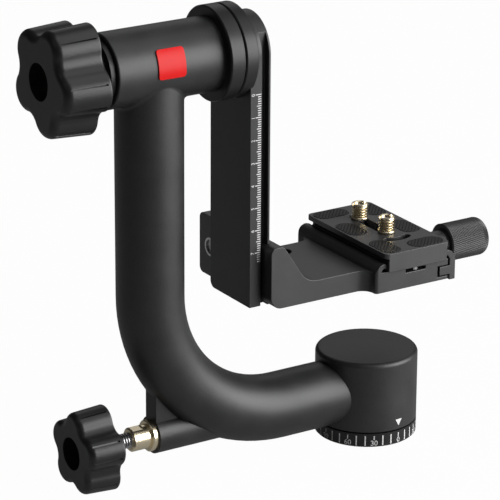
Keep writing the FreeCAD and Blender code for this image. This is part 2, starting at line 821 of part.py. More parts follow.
def star_knob(radius, length, turn, recess, recess_depth, collar, collar_length, bore):
    """A moulded star knob about its own Z, front face at zero."""
    angle = -math.radians(turn)
    blank = Part.makeLoft([star_outline(radius * number("knob_taper"), angle, 0),
                           star_outline(radius, angle, length)], True, True)
    front = [edge for edge in blank.Edges if edge.BoundBox.ZMax < CLOSE]
    body = blank.makeFillet(radius * number("knob_front_round"), front)
    back = [edge for edge in body.Edges if edge.BoundBox.ZMin > length - CLOSE]
    body = body.makeFillet(number("knob_back_round"), back)
    body = body.fuse(Part.makeCylinder(collar, collar_length + 1, FreeCAD.Vector(0, 0, length - 1)))
    body = body.cut(Part.makeCylinder(recess, recess_depth))
    body = body.cut(Part.makeCylinder(bore, length + collar_length))
    lobe = radius * number("knob_lobe")
    reach = radius - lobe
    aside = math.radians(number("slit_angle"))
    skin = reach * math.cos(aside) + math.sqrt(lobe ** 2 - (reach * math.sin(aside)) ** 2)
    margin = number("slit_margin")
    for index in range(5):
        for side in (-1, 1):
            slit = Part.makeBox(radius, number("slit_width"), length - 2 * margin,
                                FreeCAD.Vector(skin - number("slit_depth"), -number("slit_width") / 2, margin))
            slit.rotate(FreeCAD.Vector(0, 0, 0), FreeCAD.Vector(0, 0, 1),
                        math.degrees(angle + side * aside) + 72 * index)
            body = body.cut(slit)
    return body.removeSplitter()


def placed_knob(shape, front, height):
    """Stand a knob on an X axis: its front face looks towards -X, its zero angle towards +Z."""
    item = fresh("Part::Feature")
    item.Shape = shape
    facing = FreeCAD.Rotation(FreeCAD.Vector(0, 0, 1), FreeCAD.Vector(0, -1, 0), FreeCAD.Vector(1, 0, 0), "XYZ")
    item.Placement = FreeCAD.Placement(FreeCAD.Vector(number(front), 0, number(height)), facing)
    return item


def make_pan_knob():
    shape = star_knob(number("pan_knob_radius"), number("pan_knob_length"), number("pan_knob_turn"),
                      number("pan_knob_recess"), number("pan_knob_recess_depth"), number("pan_knob_collar"),
                      number("pan_knob_collar_length"), number("stud_radius"))
    return placed_knob(shape, "-pan_knob_front", "tube_axis_height")


def make_pan_stud():
    """The lock screw, its thread turned as rings of the screw's pitch between bushing and knob."""
    start = "-pan_knob_front + pan_knob_recess_depth"
    corners = [(0, start), ("stud_radius", start), ("stud_radius", "-pan_knob_back - pan_knob_collar_length + 6")]
    turns = int(number("bushing_barrel_end - boss_end") / number("stud_pitch"))
    for index in range(turns):
        foot = "-bushing_barrel_end - 6 + %d * stud_pitch" % index
        corners += [("stud_radius", foot), ("stud_radius * 0.86", foot + " + stud_pitch * 0.4"),
                    ("stud_radius", foot + " + stud_pitch * 0.8")]
    corners += [("stud_radius", "-stud_end"), (0, "-stud_end")]
    return turned(corners, (0, 0, "tube_axis_height"), "X")


def make_brake_rod():
    return cylinder("rod_radius", "stud_end - slide_gap - rod_start",
                    ("-stud_end + slide_gap", 0, "tube_axis_height"), "X")


def make_brake_shoe():
    return cylinder("shoe_radius", "shoe_length", ("-rod_start", 0, "tube_axis_height"), "X")


def make_pressure_plate():
    return ring("axle_radius + running_gap", "pressure_plate_radius", "-pressure_plate_left", "-pressure_plate_right",
                "X", "tilt_axis_height")


def make_tilt_knob():
    shape = star_knob(number("tilt_knob_radius"), number("tilt_knob_length"), number("tilt_knob_turn"),
                      number("tilt_knob_recess"), number("tilt_knob_recess_depth"), number("tilt_knob_collar"),
                      number("tilt_knob_collar_length"), number("tilt_knob_insert"))
    return placed_knob(shape, "-tilt_knob_front", "tilt_axis_height")


def make_tilt_knob_insert():
    return ring("axle_thread_radius + running_gap", "tilt_knob_insert", "-tilt_knob_front + tilt_knob_recess_depth",
                "-tilt_collar_end", "X", "tilt_axis_height")


# Cradle: what swings about the tilt axis.

def make_axle():
    shaft = turned([(0, "-axle_end"), ("axle_thread_radius - 0.6", "-axle_end"),
                    ("axle_thread_radius", "-axle_end + 0.6"), ("axle_thread_radius", "-axle_thread_start"),
                    ("axle_radius", "-axle_thread_start"), ("axle_radius", "-back_disc_left"),
                    ("axle_flange_radius", "-back_disc_left"),
                    ("axle_flange_radius", "-back_disc_left + axle_flange_length"),
                    ("axle_radius", "-back_disc_left + axle_flange_length"), ("axle_radius", "-arm_left"),
                    (0, "-arm_left")], (0, 0, "tilt_axis_height"), "X")
    tapped = cylinder("axle_screw_radius", "axle_screw_length", ("-arm_left - axle_screw_length + 5", 0,
                                                                "tilt_axis_height"), "X")
    return cut(shaft, [tapped])


def make_axle_sleeves():
    reach = "axle_radius + tilt_race_wall"
    return group([ring("axle_radius", reach, "-left_bearing + tilt_bearing_width", "-right_bearing", "X",
                       "tilt_axis_height"),
                  ring("axle_radius", reach, "-disc_left", "-back_disc_left", "X", "tilt_axis_height")])


def disc_screw_places():
    return [("disc_screw_circle * cos(%d)" % angle, "tilt_axis_height + disc_screw_circle * sin(%d)" % angle)
            for angle in (45, 135, 225, 315)]


def arm_blank(left, right, margin):
    """The arm's outline as a solid between two X values, grown by a margin."""
    width = "arm_width / 2 + (%s)" % margin
    bar = box((left, "-(%s)" % width, "arm_bottom"), (right, width, "tilt_axis_height"))
    head = cylinder(width, "(%s) - (%s)" % (right, left), (left, 0, "tilt_axis_height"), "X")
    return fuse([bar, head])


def make_back_disc():
    disc = turned([(0, "-back_disc_left"), ("disc_radius - disc_edge", "-back_disc_left"),
                   ("disc_radius", "-back_disc_left + disc_edge"), ("disc_radius", "-back_disc_right - disc_edge"),
                   ("disc_radius - disc_edge", "-back_disc_right"), (0, "-back_disc_right")],
                  (0, 0, "tilt_axis_height"), "X")
    tools = [cylinder("axle_flange_radius", "axle_flange_length", ("-back_disc_left", 0, "tilt_axis_height"), "X"),
             cylinder("axle_radius", "back_disc_thickness", ("-back_disc_left", 0, "tilt_axis_height"), "X"),
             arm_blank("-arm_left", "-back_disc_right + 1", "slide_gap")]
    for across, up in disc_screw_places():
        tools.append(cylinder("disc_screw_radius", "back_disc_thickness",
                              ("-arm_right - disc_screw_head_height - disc_screw_length", across, up), "X"))
    return cut(disc, tools)


def make_arm():
    """The camera arm: a flat bar with a round head and a groove down each edge."""
    blank = arm_blank("-arm_left", "-arm_right", "0")
    shaped = rounded(blank, "arm_corner",
                     lambda edge: along(edge, "x") and near(edge.BoundBox.ZMax, "arm_bottom")
                     and near(edge.BoundBox.YMin, "arm_width / 2"))
    tools = []
    floor = "arm_width / 2 - groove_depth"
    top = "tilt_axis_height + arm_width"
    tools.append(box(("-groove_left", floor, "arm_bottom - 1"), ("-groove_right", "arm_width", top)))
    tools.append(box(("-groove_left", "-arm_width", "arm_bottom - 1"), ("-groove_right", "-(%s)" % floor, top)))
    face = "-arm_right"
    tools.append(cylinder("axle_screw_head + slide_gap", "axle_screw_head_height",
                          (face + " - axle_screw_head_height", 0, "tilt_axis_height"), "X"))
    tools.append(cylinder("axle_screw_radius + slide_gap", "arm_thickness", ("-arm_left", 0, "tilt_axis_height"), "X"))
    for across, up in disc_screw_places():
        tools.append(cylinder("disc_screw_head + slide_gap", "disc_screw_head_height",
                              (face + " - disc_screw_head_height", across, up), "X"))
        tools.append(cylinder("disc_screw_radius + slide_gap", "arm_thickness", ("-arm_left", across, up), "X"))
    return cut(shaped, tools)


def cap_screw(shank, shank_length, head, head_height, face, across, up):
    """A socket cap screw whose head ends at the X value face and whose shank points towards -X."""
    seat = "(%s) - (%s)" % (face, head_height)
    body = fuse([cylinder(head, head_height, (seat, across, up), "X"),
                 cylinder(shank, shank_length, ("%s - (%s)" % (seat, shank_length), across, up), "X")])
    socket = cylinder("(%s) * 0.5" % head, "(%s) * 0.6" % head_height,
                      ("(%s) - (%s) * 0.6" % (face, head_height), across, up), "X")
    return cut(body, [socket])


def make_disc_screws():
    return group([cap_screw("disc_screw_radius", "disc_screw_length", "disc_screw_head", "disc_screw_head_height",
                            "-arm_right", across, up) for across, up in disc_screw_places()])


def make_axle_screw():
    return cap_screw("axle_screw_radius", "axle_screw_length - axle_screw_head_height", "axle_screw_head",
                     "axle_screw_head_height", "-arm_right", 0, "tilt_axis_height")


# Platform: rides up and down the arm and carries the clamp.

def make_platform_bracket():
    """Bracket, bar and clamp base, milled as one piece."""
    slope = [("-bracket_left", "bar_bottom"), ("-bracket_left", "bracket_top"), ("-bracket_ridge", "bracket_top"),
             ("-floor_start", "floor_top"), ("-clamp_left", "floor_top"), ("-clamp_left", "bar_bottom")]
    bracket = milled(slope, "-bracket_half_width", "bracket_half_width")
    low = rounded(bracket, "bracket_corner",
                  lambda edge: along(edge, "y") and near(edge.BoundBox.XMax, "-bracket_left")
                  and near(edge.BoundBox.ZMax, "bar_bottom"))
    top = rounded(low, "bracket_top_corner",
                  lambda edge: along(edge, "y") and near(edge.BoundBox.ZMax, "bracket_top"))
    cove = rounded(top, "cove_radius",
                   lambda edge: along(edge, "y") and near(edge.BoundBox.XMax, "-floor_start"))
    ear = box(("-ear_left", "bracket_half_width", "bar_bottom"), ("-ear_right", "jaw_outer", "bracket_top"))
    ear = rounded(ear, "bracket_top_corner", lambda edge: along(edge, "x") and near(edge.BoundBox.YMin, "jaw_outer"))
    base = milled([("-clamp_left", "bar_bottom")] + hook_corners(-1) + [("clamp_right", "floor_top"),
                                                                       ("clamp_right", "bar_bottom")],
                  "-clamp_front", "clamp_back")
    base = rounded(base, "clamp_corner", lambda edge: along(edge, "z") and near(edge.BoundBox.XMax, "-clamp_left"))
    flares = []
    for side in (-1, 1):
        edge = "%d * bracket_half_width" % side
        outer = "%d * (bracket_half_width + flare_radius)" % side
        low_y, high_y = (outer, edge) if side < 0 else (edge, outer)
        block = box(("-clamp_left - flare_radius", low_y, "bar_bottom"), ("-clamp_left", high_y, "floor_top"))
        flares.append(cut(block, [cylinder("flare_radius", "floor_top", ("-clamp_left - flare_radius", outer, 0))]))
    solid = fuse([cove, ear, base] + flares)
    edge = "arm_width / 2 + slide_gap"
    tip = "arm_width / 2 - hook_reach"
    far = "bracket_half_width + jaw_outer"
    tools = [box(("-arm_left", "-(%s)" % tip, "bar_bottom - 1"), ("-bearing_face", "bracket_half_width + 1",
                                                                  "bracket_top + 1")),
             box(("-hook_right", "-(%s)" % edge, "bar_bottom - 1"), ("-bearing_face", "0", "bracket_top + 1")),
             box(("-arm_left", edge, "bar_bottom - 1"), ("-ear_left", far, "bracket_top + 1")),
             box(("slot_floor", "-clamp_front - 1", "tongue_bottom - tongue_gap"),
                 ("clamp_right + 1", "clamp_back + 1", "tongue_bottom + tongue_height + tongue_gap")),
             box(("plate_centre - channel_width / 2", "-clamp_front - 1", "floor_top - channel_depth"),
                 ("plate_centre + channel_width / 2", "clamp_back + 1", "floor_top + 1")),
             cylinder("lock_stud_radius + slide_gap", "ear_thickness + 4",
                      ("-ear_left - 2", "lock_offset", "lock_height"), "X"),
             cylinder("lock_knob_radius + knob_clearance", "lock_knob_length + slide_gap * 10",
                      ("-ear_right", "lock_offset", "lock_height"), "X"),
             cylinder("spot_hole_radius", "spot_hole_depth + 1",
                      ("-spot_hole_left", "spot_hole_side", "floor_top - spot_hole_depth")),
             cylinder("clamp_screw_radius", "clamp_screw_depth + tongue_length",
                      ("slot_floor - clamp_screw_depth", 0, "tongue_centre"), "X")]
    for place_y in guide_pin_places():
        tools.append(cylinder("guide_pin_radius", "guide_pin_length",
                              ("moving_jaw_right - guide_pin_length - 1", place_y, "tongue_centre"), "X"))
    return cut(solid, tools)


def hook_corners(side):
    """The claw of a clamp jaw over the plate's flank, from its outside to its foot; side is -1 at the fixed jaw."""
    half = "dovetail_width / 2"
    outside = "clamp_left + plate_centre" if side < 0 else "moving_jaw_right - plate_centre"
    tip = half + " - hook_bite"
    flank = "flank_bottom + running_gap"
    points = [(outside, "floor_top - hook_height * 0.16"), (outside + " - hook_height * 0.18", "floor_top + hook_height * 0.36"),
              (outside + " - hook_height * 0.55", "floor_top + hook_height * 0.8"),
              (outside + " - hook_height", "floor_top + hook_height"), (half + " + hook_bite", "floor_top + hook_height"),
              (tip, "floor_top + hook_height * 0.87"), (tip, flank + " + hook_bite"),
              (half + " + slide_gap * 2", flank + " - slide_gap * 2"),
              (half + " + hook_relief * 0.7", "floor_top + hook_height * 0.4"),
              (half + " + hook_relief", "floor_top + hook_height * 0.12"), (half + " + hook_relief", "floor_top")]
    return [("plate_centre + (%d) * (%s)" % (side, across), up) for across, up in points]


def guide_pin_places():
    middle = "(clamp_back - clamp_front) / 2"
    return ["%s - guide_pin_spacing / 2" % middle, "%s + guide_pin_spacing / 2" % middle]


def make_set_screw():
    """The set screw in the bracket's floor."""
    depth = "spot_hole_depth - set_screw_sink"
    screw = cylinder("spot_hole_radius", depth, ("-spot_hole_left", "spot_hole_side", "floor_top - spot_hole_depth"))
    socket = cylinder("set_screw_socket", "spot_hole_depth / 2",
                      ("-spot_hole_left", "spot_hole_side", "floor_top - spot_hole_depth / 2 - set_screw_sink"))
    return cut(screw, [socket])


def make_rear_jaw():
    edge = "arm_width / 2 + slide_gap"
    block = box(("-bracket_left", edge, "bar_bottom"), ("-jaw_right", "jaw_outer", "bracket_top"))
    block = rounded(block, "bracket_corner - bracket_top_corner",
                    lambda edge: along(edge, "x") and near(edge.BoundBox.YMin, "jaw_outer")
                    and near(edge.BoundBox.ZMax, "bar_bottom"))
    block = rounded(block, "bracket_top_corner",
                    lambda edge: along(edge, "x") and near(edge.BoundBox.YMin, "jaw_outer")
                    and near(edge.BoundBox.ZMax, "bracket_top"))
    hook = box(("-bracket_left", "arm_width / 2 - hook_reach", "bar_bottom"), ("-hook_right", edge, "bracket_top"))
    tools = [cylinder("lock_ring_radius", "lock_ring_length", ("-bracket_left", "lock_offset", "lock_height"), "X"),
             cylinder("lock_stud_radius + slide_gap", "jaw_thickness + 1",
                      ("-bracket_left", "lock_offset", "lock_height"), "X")]
    return cut(fuse([block, hook]), tools)


def make_lock_ring():
    bush = turned([("lock_stud_radius + running_gap", "-bracket_left"), ("lock_ring_radius", "-bracket_left"),
                   ("lock_ring_radius", "-bracket_left + lock_ring_length"),
                   ("lock_stud_radius + running_gap", "-bracket_left + lock_ring_length")],
                  (0, "lock_offset", "lock_height"), "X")
    return bush


def make_lock_stud():
    start = "-bracket_left + lock_stud_inset"
    return cylinder("lock_stud_radius", "bracket_left - lock_stud_inset - ear_right + lock_knob_length / 2",
                    (start, "lock_offset", "lock_height"), "X")


def make_lock_knob():
    left = "-ear_right + small_gap"
    blank = cylinder("lock_knob_radius", "lock_knob_length", (left, "lock_offset", "lock_height"), "X")
    soft = rounded(blank, "pad_margin", lambda edge: edge.Curve.TypeId == "Part::GeomCircle")
    flutes = []
    for angle in range(0, 360, 45):
        flutes.append(cylinder("lock_knob_radius / 5", "lock_knob_length + 2",
                               (left + " - 1", "lock_offset + lock_knob_radius * 1.08 * cos(%d)" % angle,
                                "lock_height + lock_knob_radius * 1.08 * sin(%d)" % angle), "X"))
    hole = cylinder("lock_stud_radius", "lock_knob_length / 2 + small_gap",
                    ("-ear_right", "lock_offset", "lock_height"), "X")
    return cut(soft, flutes + [hole])


# Clamp: the moving jaw with its screw, and the knurled grip that drives it.

def make_moving_jaw():
    hook = hook_corners(1)
    corners = hook + [("moving_jaw_left", "floor_top"), ("moving_jaw_left", "tongue_bottom + tongue_height"),
                      ("slot_floor + tongue_end_gap", "tongue_bottom + tongue_height"),
                      ("slot_floor + tongue_end_gap", "tongue_bottom"), ("moving_jaw_left", "tongue_bottom"),
                      ("moving_jaw_left", "moving_jaw_bottom"), ("moving_jaw_right", "moving_jaw_bottom")]
    jaw = milled(corners, "-clamp_front", "clamp_back")
    tools = [cylinder("clamp_screw_radius + small_gap", "moving_jaw_right - slot_floor",
                      ("slot_floor", 0, "tongue_centre"), "X")]
    for place_y in guide_pin_places():
        tools.append(cylinder("guide_pin_radius + running_gap", "moving_jaw_right - slot_floor - 0.8",
                              ("slot_floor", place_y, "tongue_centre"), "X"))
    return cut(jaw, tools)


def make_guide_pins():
    return group([cylinder("guide_pin_radius", "guide_pin_length",
                           ("moving_jaw_right - guide_pin_length - 1", place_y, "tongue_centre"), "X")
                  for place_y in guide_pin_places()])


def make_clamp_screw():
    return cylinder("clamp_screw_radius", "grip_left + grip_insert_length + 4 - slot_floor + clamp_screw_depth",
                    ("slot_floor - clamp_screw_depth", 0, "tongue_centre"), "X")


def make_clamp_sleeve():
    return ring("clamp_screw_radius + small_gap", "sleeve_radius", "sleeve_left", "clamp_washer_left", "X",
                "tongue_centre")


def make_clamp_washer():
    return ring("clamp_screw_radius + small_gap", "clamp_washer_radius", "clamp_washer_left",
                "grip_left - slide_gap", "X", "tongue_centre")


def make_grip():
    blank = cylinder("grip_radius", "grip_length", ("grip_left", 0, "tongue_centre"), "X")
    soft = rounded(blank, "grip_round", lambda edge: edge.Curve.TypeId == "Part::GeomCircle"
                   and near(edge.BoundBox.XMax, "grip_left + grip_length"))
    return cut(soft, [cylinder("grip_insert_radius", "grip_insert_length", ("grip_left", 0, "tongue_centre"), "X"),
                      cylinder("clamp_screw_radius + small_gap", "grip_length - 4",
                               ("grip_left", 0, "tongue_centre"), "X")])


def make_grip_insert():
    return ring("clamp_screw_radius + running_gap", "grip_insert_radius", "grip_left",
                "grip_left + grip_insert_length", "X", "tongue_centre")


# Quick-release plate with its pads and camera screws.

def pill(left, right, front, back, low, high):
    """A block with half-round ends along its longer side, between two heights."""
    wide = number("(%s) - (%s)" % (right, left))
    deep = number("(%s) - (%s)" % (back, front))
    height = "(%s) - (%s)" % (high, low)
    if wide > deep:
        radius = "((%s) - (%s)) / 2" % (back, front)
        middle = "((%s) + (%s)) / 2" % (back, front)
        first, last = "(%s) + %s" % (left, radius), "(%s) - %s" % (right, radius)
        bar = box((first, front, low), (last, back, high))
        ends = [cylinder(radius, height, (first, middle, low)), cylinder(radius, height, (last, middle, low))]
    else:
        radius = "((%s) - (%s)) / 2" % (right, left)
        middle = "((%s) + (%s)) / 2" % (right, left)
        first, last = "(%s) + %s" % (front, radius), "(%s) - %s" % (back, radius)
        bar = box((left, first, low), (right, last, high))
        ends = [cylinder(radius, height, (middle, first, low)), cylinder(radius, height, (middle, last, low))]
    return fuse([bar] + ends)


def pads(margin, low, high):
    """The six pad shapes, turned half round about the plate's centre in pairs."""
    beside = "plate_width / 2 - pad_margin - pad_short / 2"
    across = "plate_width / 2 - pad_margin - pad_long / 2"
    end = "plate_length / 2 - pad_margin - pad_short / 2"
    corner = "plate_length / 2 - pad_margin - pad_long / 2"
    shapes = []
    for side in (-1, 1):
        for offset_x, offset_y, wide, deep in ((across, "-(%s)" % end, "pad_long", "pad_short"),
                                               (beside, "pad_shift", "pad_short", "pad_long"),
                                               (beside, corner, "pad_short", "pad_long")):
            centre_x = "plate_centre + (%d) * (%s)" % (side, offset_x)
            centre_y = "(%d) * (%s)" % (-side if offset_y == "pad_shift" else side, offset_y)
            shapes.append(pill("%s - (%s) / 2 - %s" % (centre_x, wide, margin),
                               "%s + (%s) / 2 + %s" % (centre_x, wide, margin),
                               "%s - (%s) / 2 - %s" % (centre_y, deep, margin),
                               "%s + (%s) / 2 + %s" % (centre_y, deep, margin), low, high))
    return shapes


def make_plate():
    half = "plate_width / 2"
    side = "plate_length / 2"
    slab = box(("plate_centre - " + half, "-" + side, "slab_bottom"), ("plate_centre + " + half, side, "plate_top"))
    slab = rounded(slab, "plate_corner", lambda edge: along(edge, "z"))
    neck = "dovetail_width / 2 - dovetail_flank"
    right = [("dovetail_width / 2 - plate_edge", "floor_top"), ("dovetail_width / 2", "floor_top + plate_edge"),
             ("dovetail_width / 2", "flank_bottom"), (neck, "flank_top"),
             (neck, "slab_bottom + 0.5")]
    corners = [("plate_centre + " + across, up) for across, up in right]
    corners += [("plate_centre - (%s)" % across, up) for across, up in reversed(right)]
    dovetail = milled(corners, "-%s + plate_stop" % side, side)
    stop = box(("dovetail_left", "-" + side, "floor_top"), ("dovetail_right", "-%s + plate_stop" % side,
                                                            "slab_bottom + 0.5"))
    stop = rounded(stop, "plate_edge", lambda edge: near(edge.BoundBox.ZMax, "floor_top")
                   and (along(edge, "y") or near(edge.BoundBox.YMin, "-plate_length / 2")))
    tools = [pill("plate_centre - slot_width / 2", "plate_centre + slot_width / 2", "-slot_front", "slot_back",
                  "floor_top - 1", "plate_top + 1"),
             pill("plate_centre - head_pocket_radius", "plate_centre + head_pocket_radius",
                  "-slot_front + slot_width / 2 - head_pocket_radius",
                  "slot_back - slot_width / 2 + head_pocket_radius", "floor_top - 1", "head_seat"),
             cylinder("stop_screw_radius", "stop_screw_depth",
                      ("plate_centre", "-%s + stop_screw_inset" % side, "floor_top"))]
    start = "270 - arc_slot_angle / 2"
    outer = cylinder("arc_slot_radius + arc_slot_width / 2", "plate_height + 2",
                     ("plate_centre", "-screw_front", "floor_top - 1"))
    outer.setExpression("Angle", bound("arc_slot_angle"))
    outer.Placement.Rotation = FreeCAD.Rotation(FreeCAD.Vector(0, 0, 1), number(start))
    core = cylinder("arc_slot_radius - arc_slot_width / 2", "plate_height + 2",
                    ("plate_centre", "-screw_front", "floor_top - 1"))
    tools.append(cut(outer, [core]))
    for angle in (start, "270 + arc_slot_angle / 2"):
        tools.append(cylinder("arc_slot_width / 2", "plate_height + 2",
                              ("plate_centre + arc_slot_radius * cos(%s)" % angle,
                               "-screw_front + arc_slot_radius * sin(%s)" % angle, "floor_top - 1")))
    return cut(fuse([slab, dovetail, stop]), tools + pads("slide_gap", "pad_bottom", "plate_top + 1"))


def make_pads():
    blanks = pads("0", "pad_bottom", "pad_bottom + pad_thickness")
    top = "pad_bottom + pad_thickness"
    grooves = []
    reach = number("plate_length")
    pitch = number("pad_rib_pitch")
    for index in range(-int(reach / pitch / 1.4), int(reach / pitch / 1.4) + 1):
        groove = fresh("Part::Box")
        groove.setExpression("Length", bound("plate_length * 1.5"))
        groove.setExpression("Width", bound("pad_rib_width"))
        groove.setExpression("Height", bound("pad_rib_depth + 1"))
        lean = math.radians(50)
        back = reach * 0.75
        shift = index * pitch
        groove.Placement = FreeCAD.Placement(
            FreeCAD.Vector(number("plate_centre") - back * math.cos(lean) - shift * math.sin(lean),
                           -back * math.sin(lean) + shift * math.cos(lean), number(top + " - pad_rib_depth")),
            FreeCAD.Rotation(FreeCAD.Vector(0, 0, 1), math.degrees(lean)))
        grooves.append(groove)
    return cut(group(blanks), [group(grooves)])


def make_stop_screw():
    side = "plate_length / 2"
    return cylinder("stop_screw_radius", "stop_screw_depth + stop_screw_drop",
                    ("plate_centre", "-%s + stop_screw_inset" % side, "floor_top - stop_screw_drop"))


def make_camera_screw(place_y):
    shank = cylinder("camera_screw_radius", "plate_top + camera_screw_height - clip_bottom",
                     ("plate_centre", place_y, "clip_bottom"))
    head = cylinder("screw_head_radius", "screw_head_height",
                    ("plate_centre", place_y, "clip_bottom - slide_gap - screw_head_height"))
    join = cylinder("camera_screw_radius", "slide_gap * 2", ("plate_centre", place_y, "clip_bottom - slide_gap"))
    low = "clip_bottom - slide_gap - screw_head_height"
    notch = box(("plate_centre - screw_head_radius", "%s - screw_head_slot_width / 2" % place_y, low),
                ("plate_centre + screw_head_radius", "%s + screw_head_slot_width / 2" % place_y,
                 low + " + screw_head_slot_depth"))
    return cut(fuse([shank, join, head]), [notch])


def make_clip(place_y):
    return turned([("camera_screw_radius + running_gap", "clip_bottom"), ("clip_radius", "clip_bottom"),
                   ("clip_radius", "clip_bottom + clip_thickness"),
                   ("camera_screw_radius + running_gap", "clip_bottom + clip_thickness")],
                  ("plate_centre", place_y, 0))


def make_adapter(place_y):
    """The slotted brass thread adapter on a camera screw, its thread turned as rings of the thread's pitch."""
    foot = "plate_top + slide_gap"
    corners = [("camera_screw_radius", foot), ("adapter_radius", foot)]
    turns = int(number("adapter_height - 2 * adapter_chamfer") / number("adapter_pitch"))
    for index in range(turns):
        start = foot + " + %d * adapter_pitch" % index
        corners += [("adapter_radius", start + " + adapter_pitch * 0.35"),
                    ("adapter_radius - adapter_thread_depth", start + " + adapter_pitch * 0.65"),
                    ("adapter_radius", start + " + adapter_pitch * 0.95")]
    top = foot + " + adapter_height"
    corners += [("adapter_radius", top + " - adapter_chamfer"), ("adapter_radius - adapter_chamfer", top),
                ("camera_screw_radius", top)]
    sleeve = turned(corners, ("plate_centre", place_y, 0))
    notch = box(("plate_centre - adapter_radius", "%s - adapter_slot_width / 2" % place_y,
                 top + " - adapter_slot_depth"),
                ("plate_centre + adapter_radius", "%s + adapter_slot_width / 2" % place_y, top + " + 1"))
    return cut(sleeve, [notch])


finish("dial_ring", make_dial_ring())
finish("base_plate", make_base_plate())
finish("spindle", make_spindle())
finish("thread_bushing", make_thread_bushing())
finish("base_screws", make_base_screws())
finish("pan_inner_rings", make_pan_rings("journal_radius", "journal_radius + race_wall"))
finish("pan_outer_rings", make_pan_rings("pan_race_radius - race_wall", "pan_race_radius"))
finish("pan_balls", make_pan_balls())
finish("brake_drum", make_brake_drum())
finish("spindle_nut", make_spindle_nut())
finish("pan_housing", make_pan_housing())
finish("bearing_retainer", make_bearing_retainer())
finish("swing_frame", make_swing_frame())
finish("lock_bushing", make_lock_bushing())
finish("front_disc", make_front_disc())
finish("slip_washer", make_slip_washer())
finish("tilt_outer_rings", make_tilt_rings("tilt_race_radius - tilt_race_wall", "tilt_race_radius"))
finish("badge", make_badge())
finish("pan_knob", make_pan_knob())
finish("pan_knob_stud", make_pan_stud())
finish("brake_rod", make_brake_rod())
finish("brake_shoe", make_brake_shoe())
finish("pressure_plate", make_pressure_plate())
finish("tilt_knob", make_tilt_knob())
finish("tilt_knob_insert", make_tilt_knob_insert())
finish("tilt_axle", make_axle())
finish("axle_sleeves", make_axle_sleeves())
finish("tilt_inner_rings", make_tilt_rings("axle_radius", "axle_radius + tilt_race_wall"))
finish("tilt_balls", make_tilt_balls())
finish("back_disc", make_back_disc())
finish("camera_arm", make_arm())
finish("disc_screws", make_disc_screws())
finish("axle_screw", make_axle_screw())
finish("platform_bracket", make_platform_bracket())
finish("bracket_set_screw", make_set_screw())
finish("rear_jaw", make_rear_jaw())
finish("lock_ring", make_lock_ring())
finish("lock_stud", make_lock_stud())
finish("lock_knob", make_lock_knob())
finish("moving_jaw", make_moving_jaw())
finish("guide_pins", make_guide_pins())
finish("clamp_screw", make_clamp_screw())
finish("clamp_sleeve", make_clamp_sleeve())
finish("clamp_washer", make_clamp_washer())
finish("clamp_grip", make_grip())
finish("grip_insert", make_grip_insert())
finish("camera_plate", make_plate())
finish("plate_pads", make_pads())
finish("stop_screw", make_stop_screw())
finish("front_screw", make_camera_screw("-screw_front"))
finish("front_clip", make_clip("-screw_front"))
finish("front_adapter", make_adapter("-screw_front"))
finish("back_screw", make_camera_screw("screw_back"))
finish("back_clip", make_clip("screw_back"))
finish("back_adapter", make_adapter("screw_back"))

document.recompute()
faults = [item.Name for item in document.Objects if "Invalid" in item.State or "Error" in item.State]
for node, item in finished.items():
    if item.Shape.isNull() or not item.Shape.isValid() or not item.Shape.Solids:
        faults.append(node)
if faults:
    raise RuntimeError("failed objects: " + ", ".join(faults))

os.makedirs("parts", exist_ok=True)
for node, item in finished.items():
    item.Shape.exportStep("parts/%s.step" % node)
    bounds = item.Shape.BoundBox
    print("%-18s %d solids %10.1f mm3  x %.1f..%.1f  y %.1f..%.1f  z %.1f..%.1f" % (
        node, len(item.Shape.Solids), item.Shape.Volume, bounds.XMin, bounds.XMax, bounds.YMin, bounds.YMax,
        bounds.ZMin, bounds.ZMax))
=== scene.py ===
import bmesh
import bpy
import math
from mathutils import Matrix, Vector


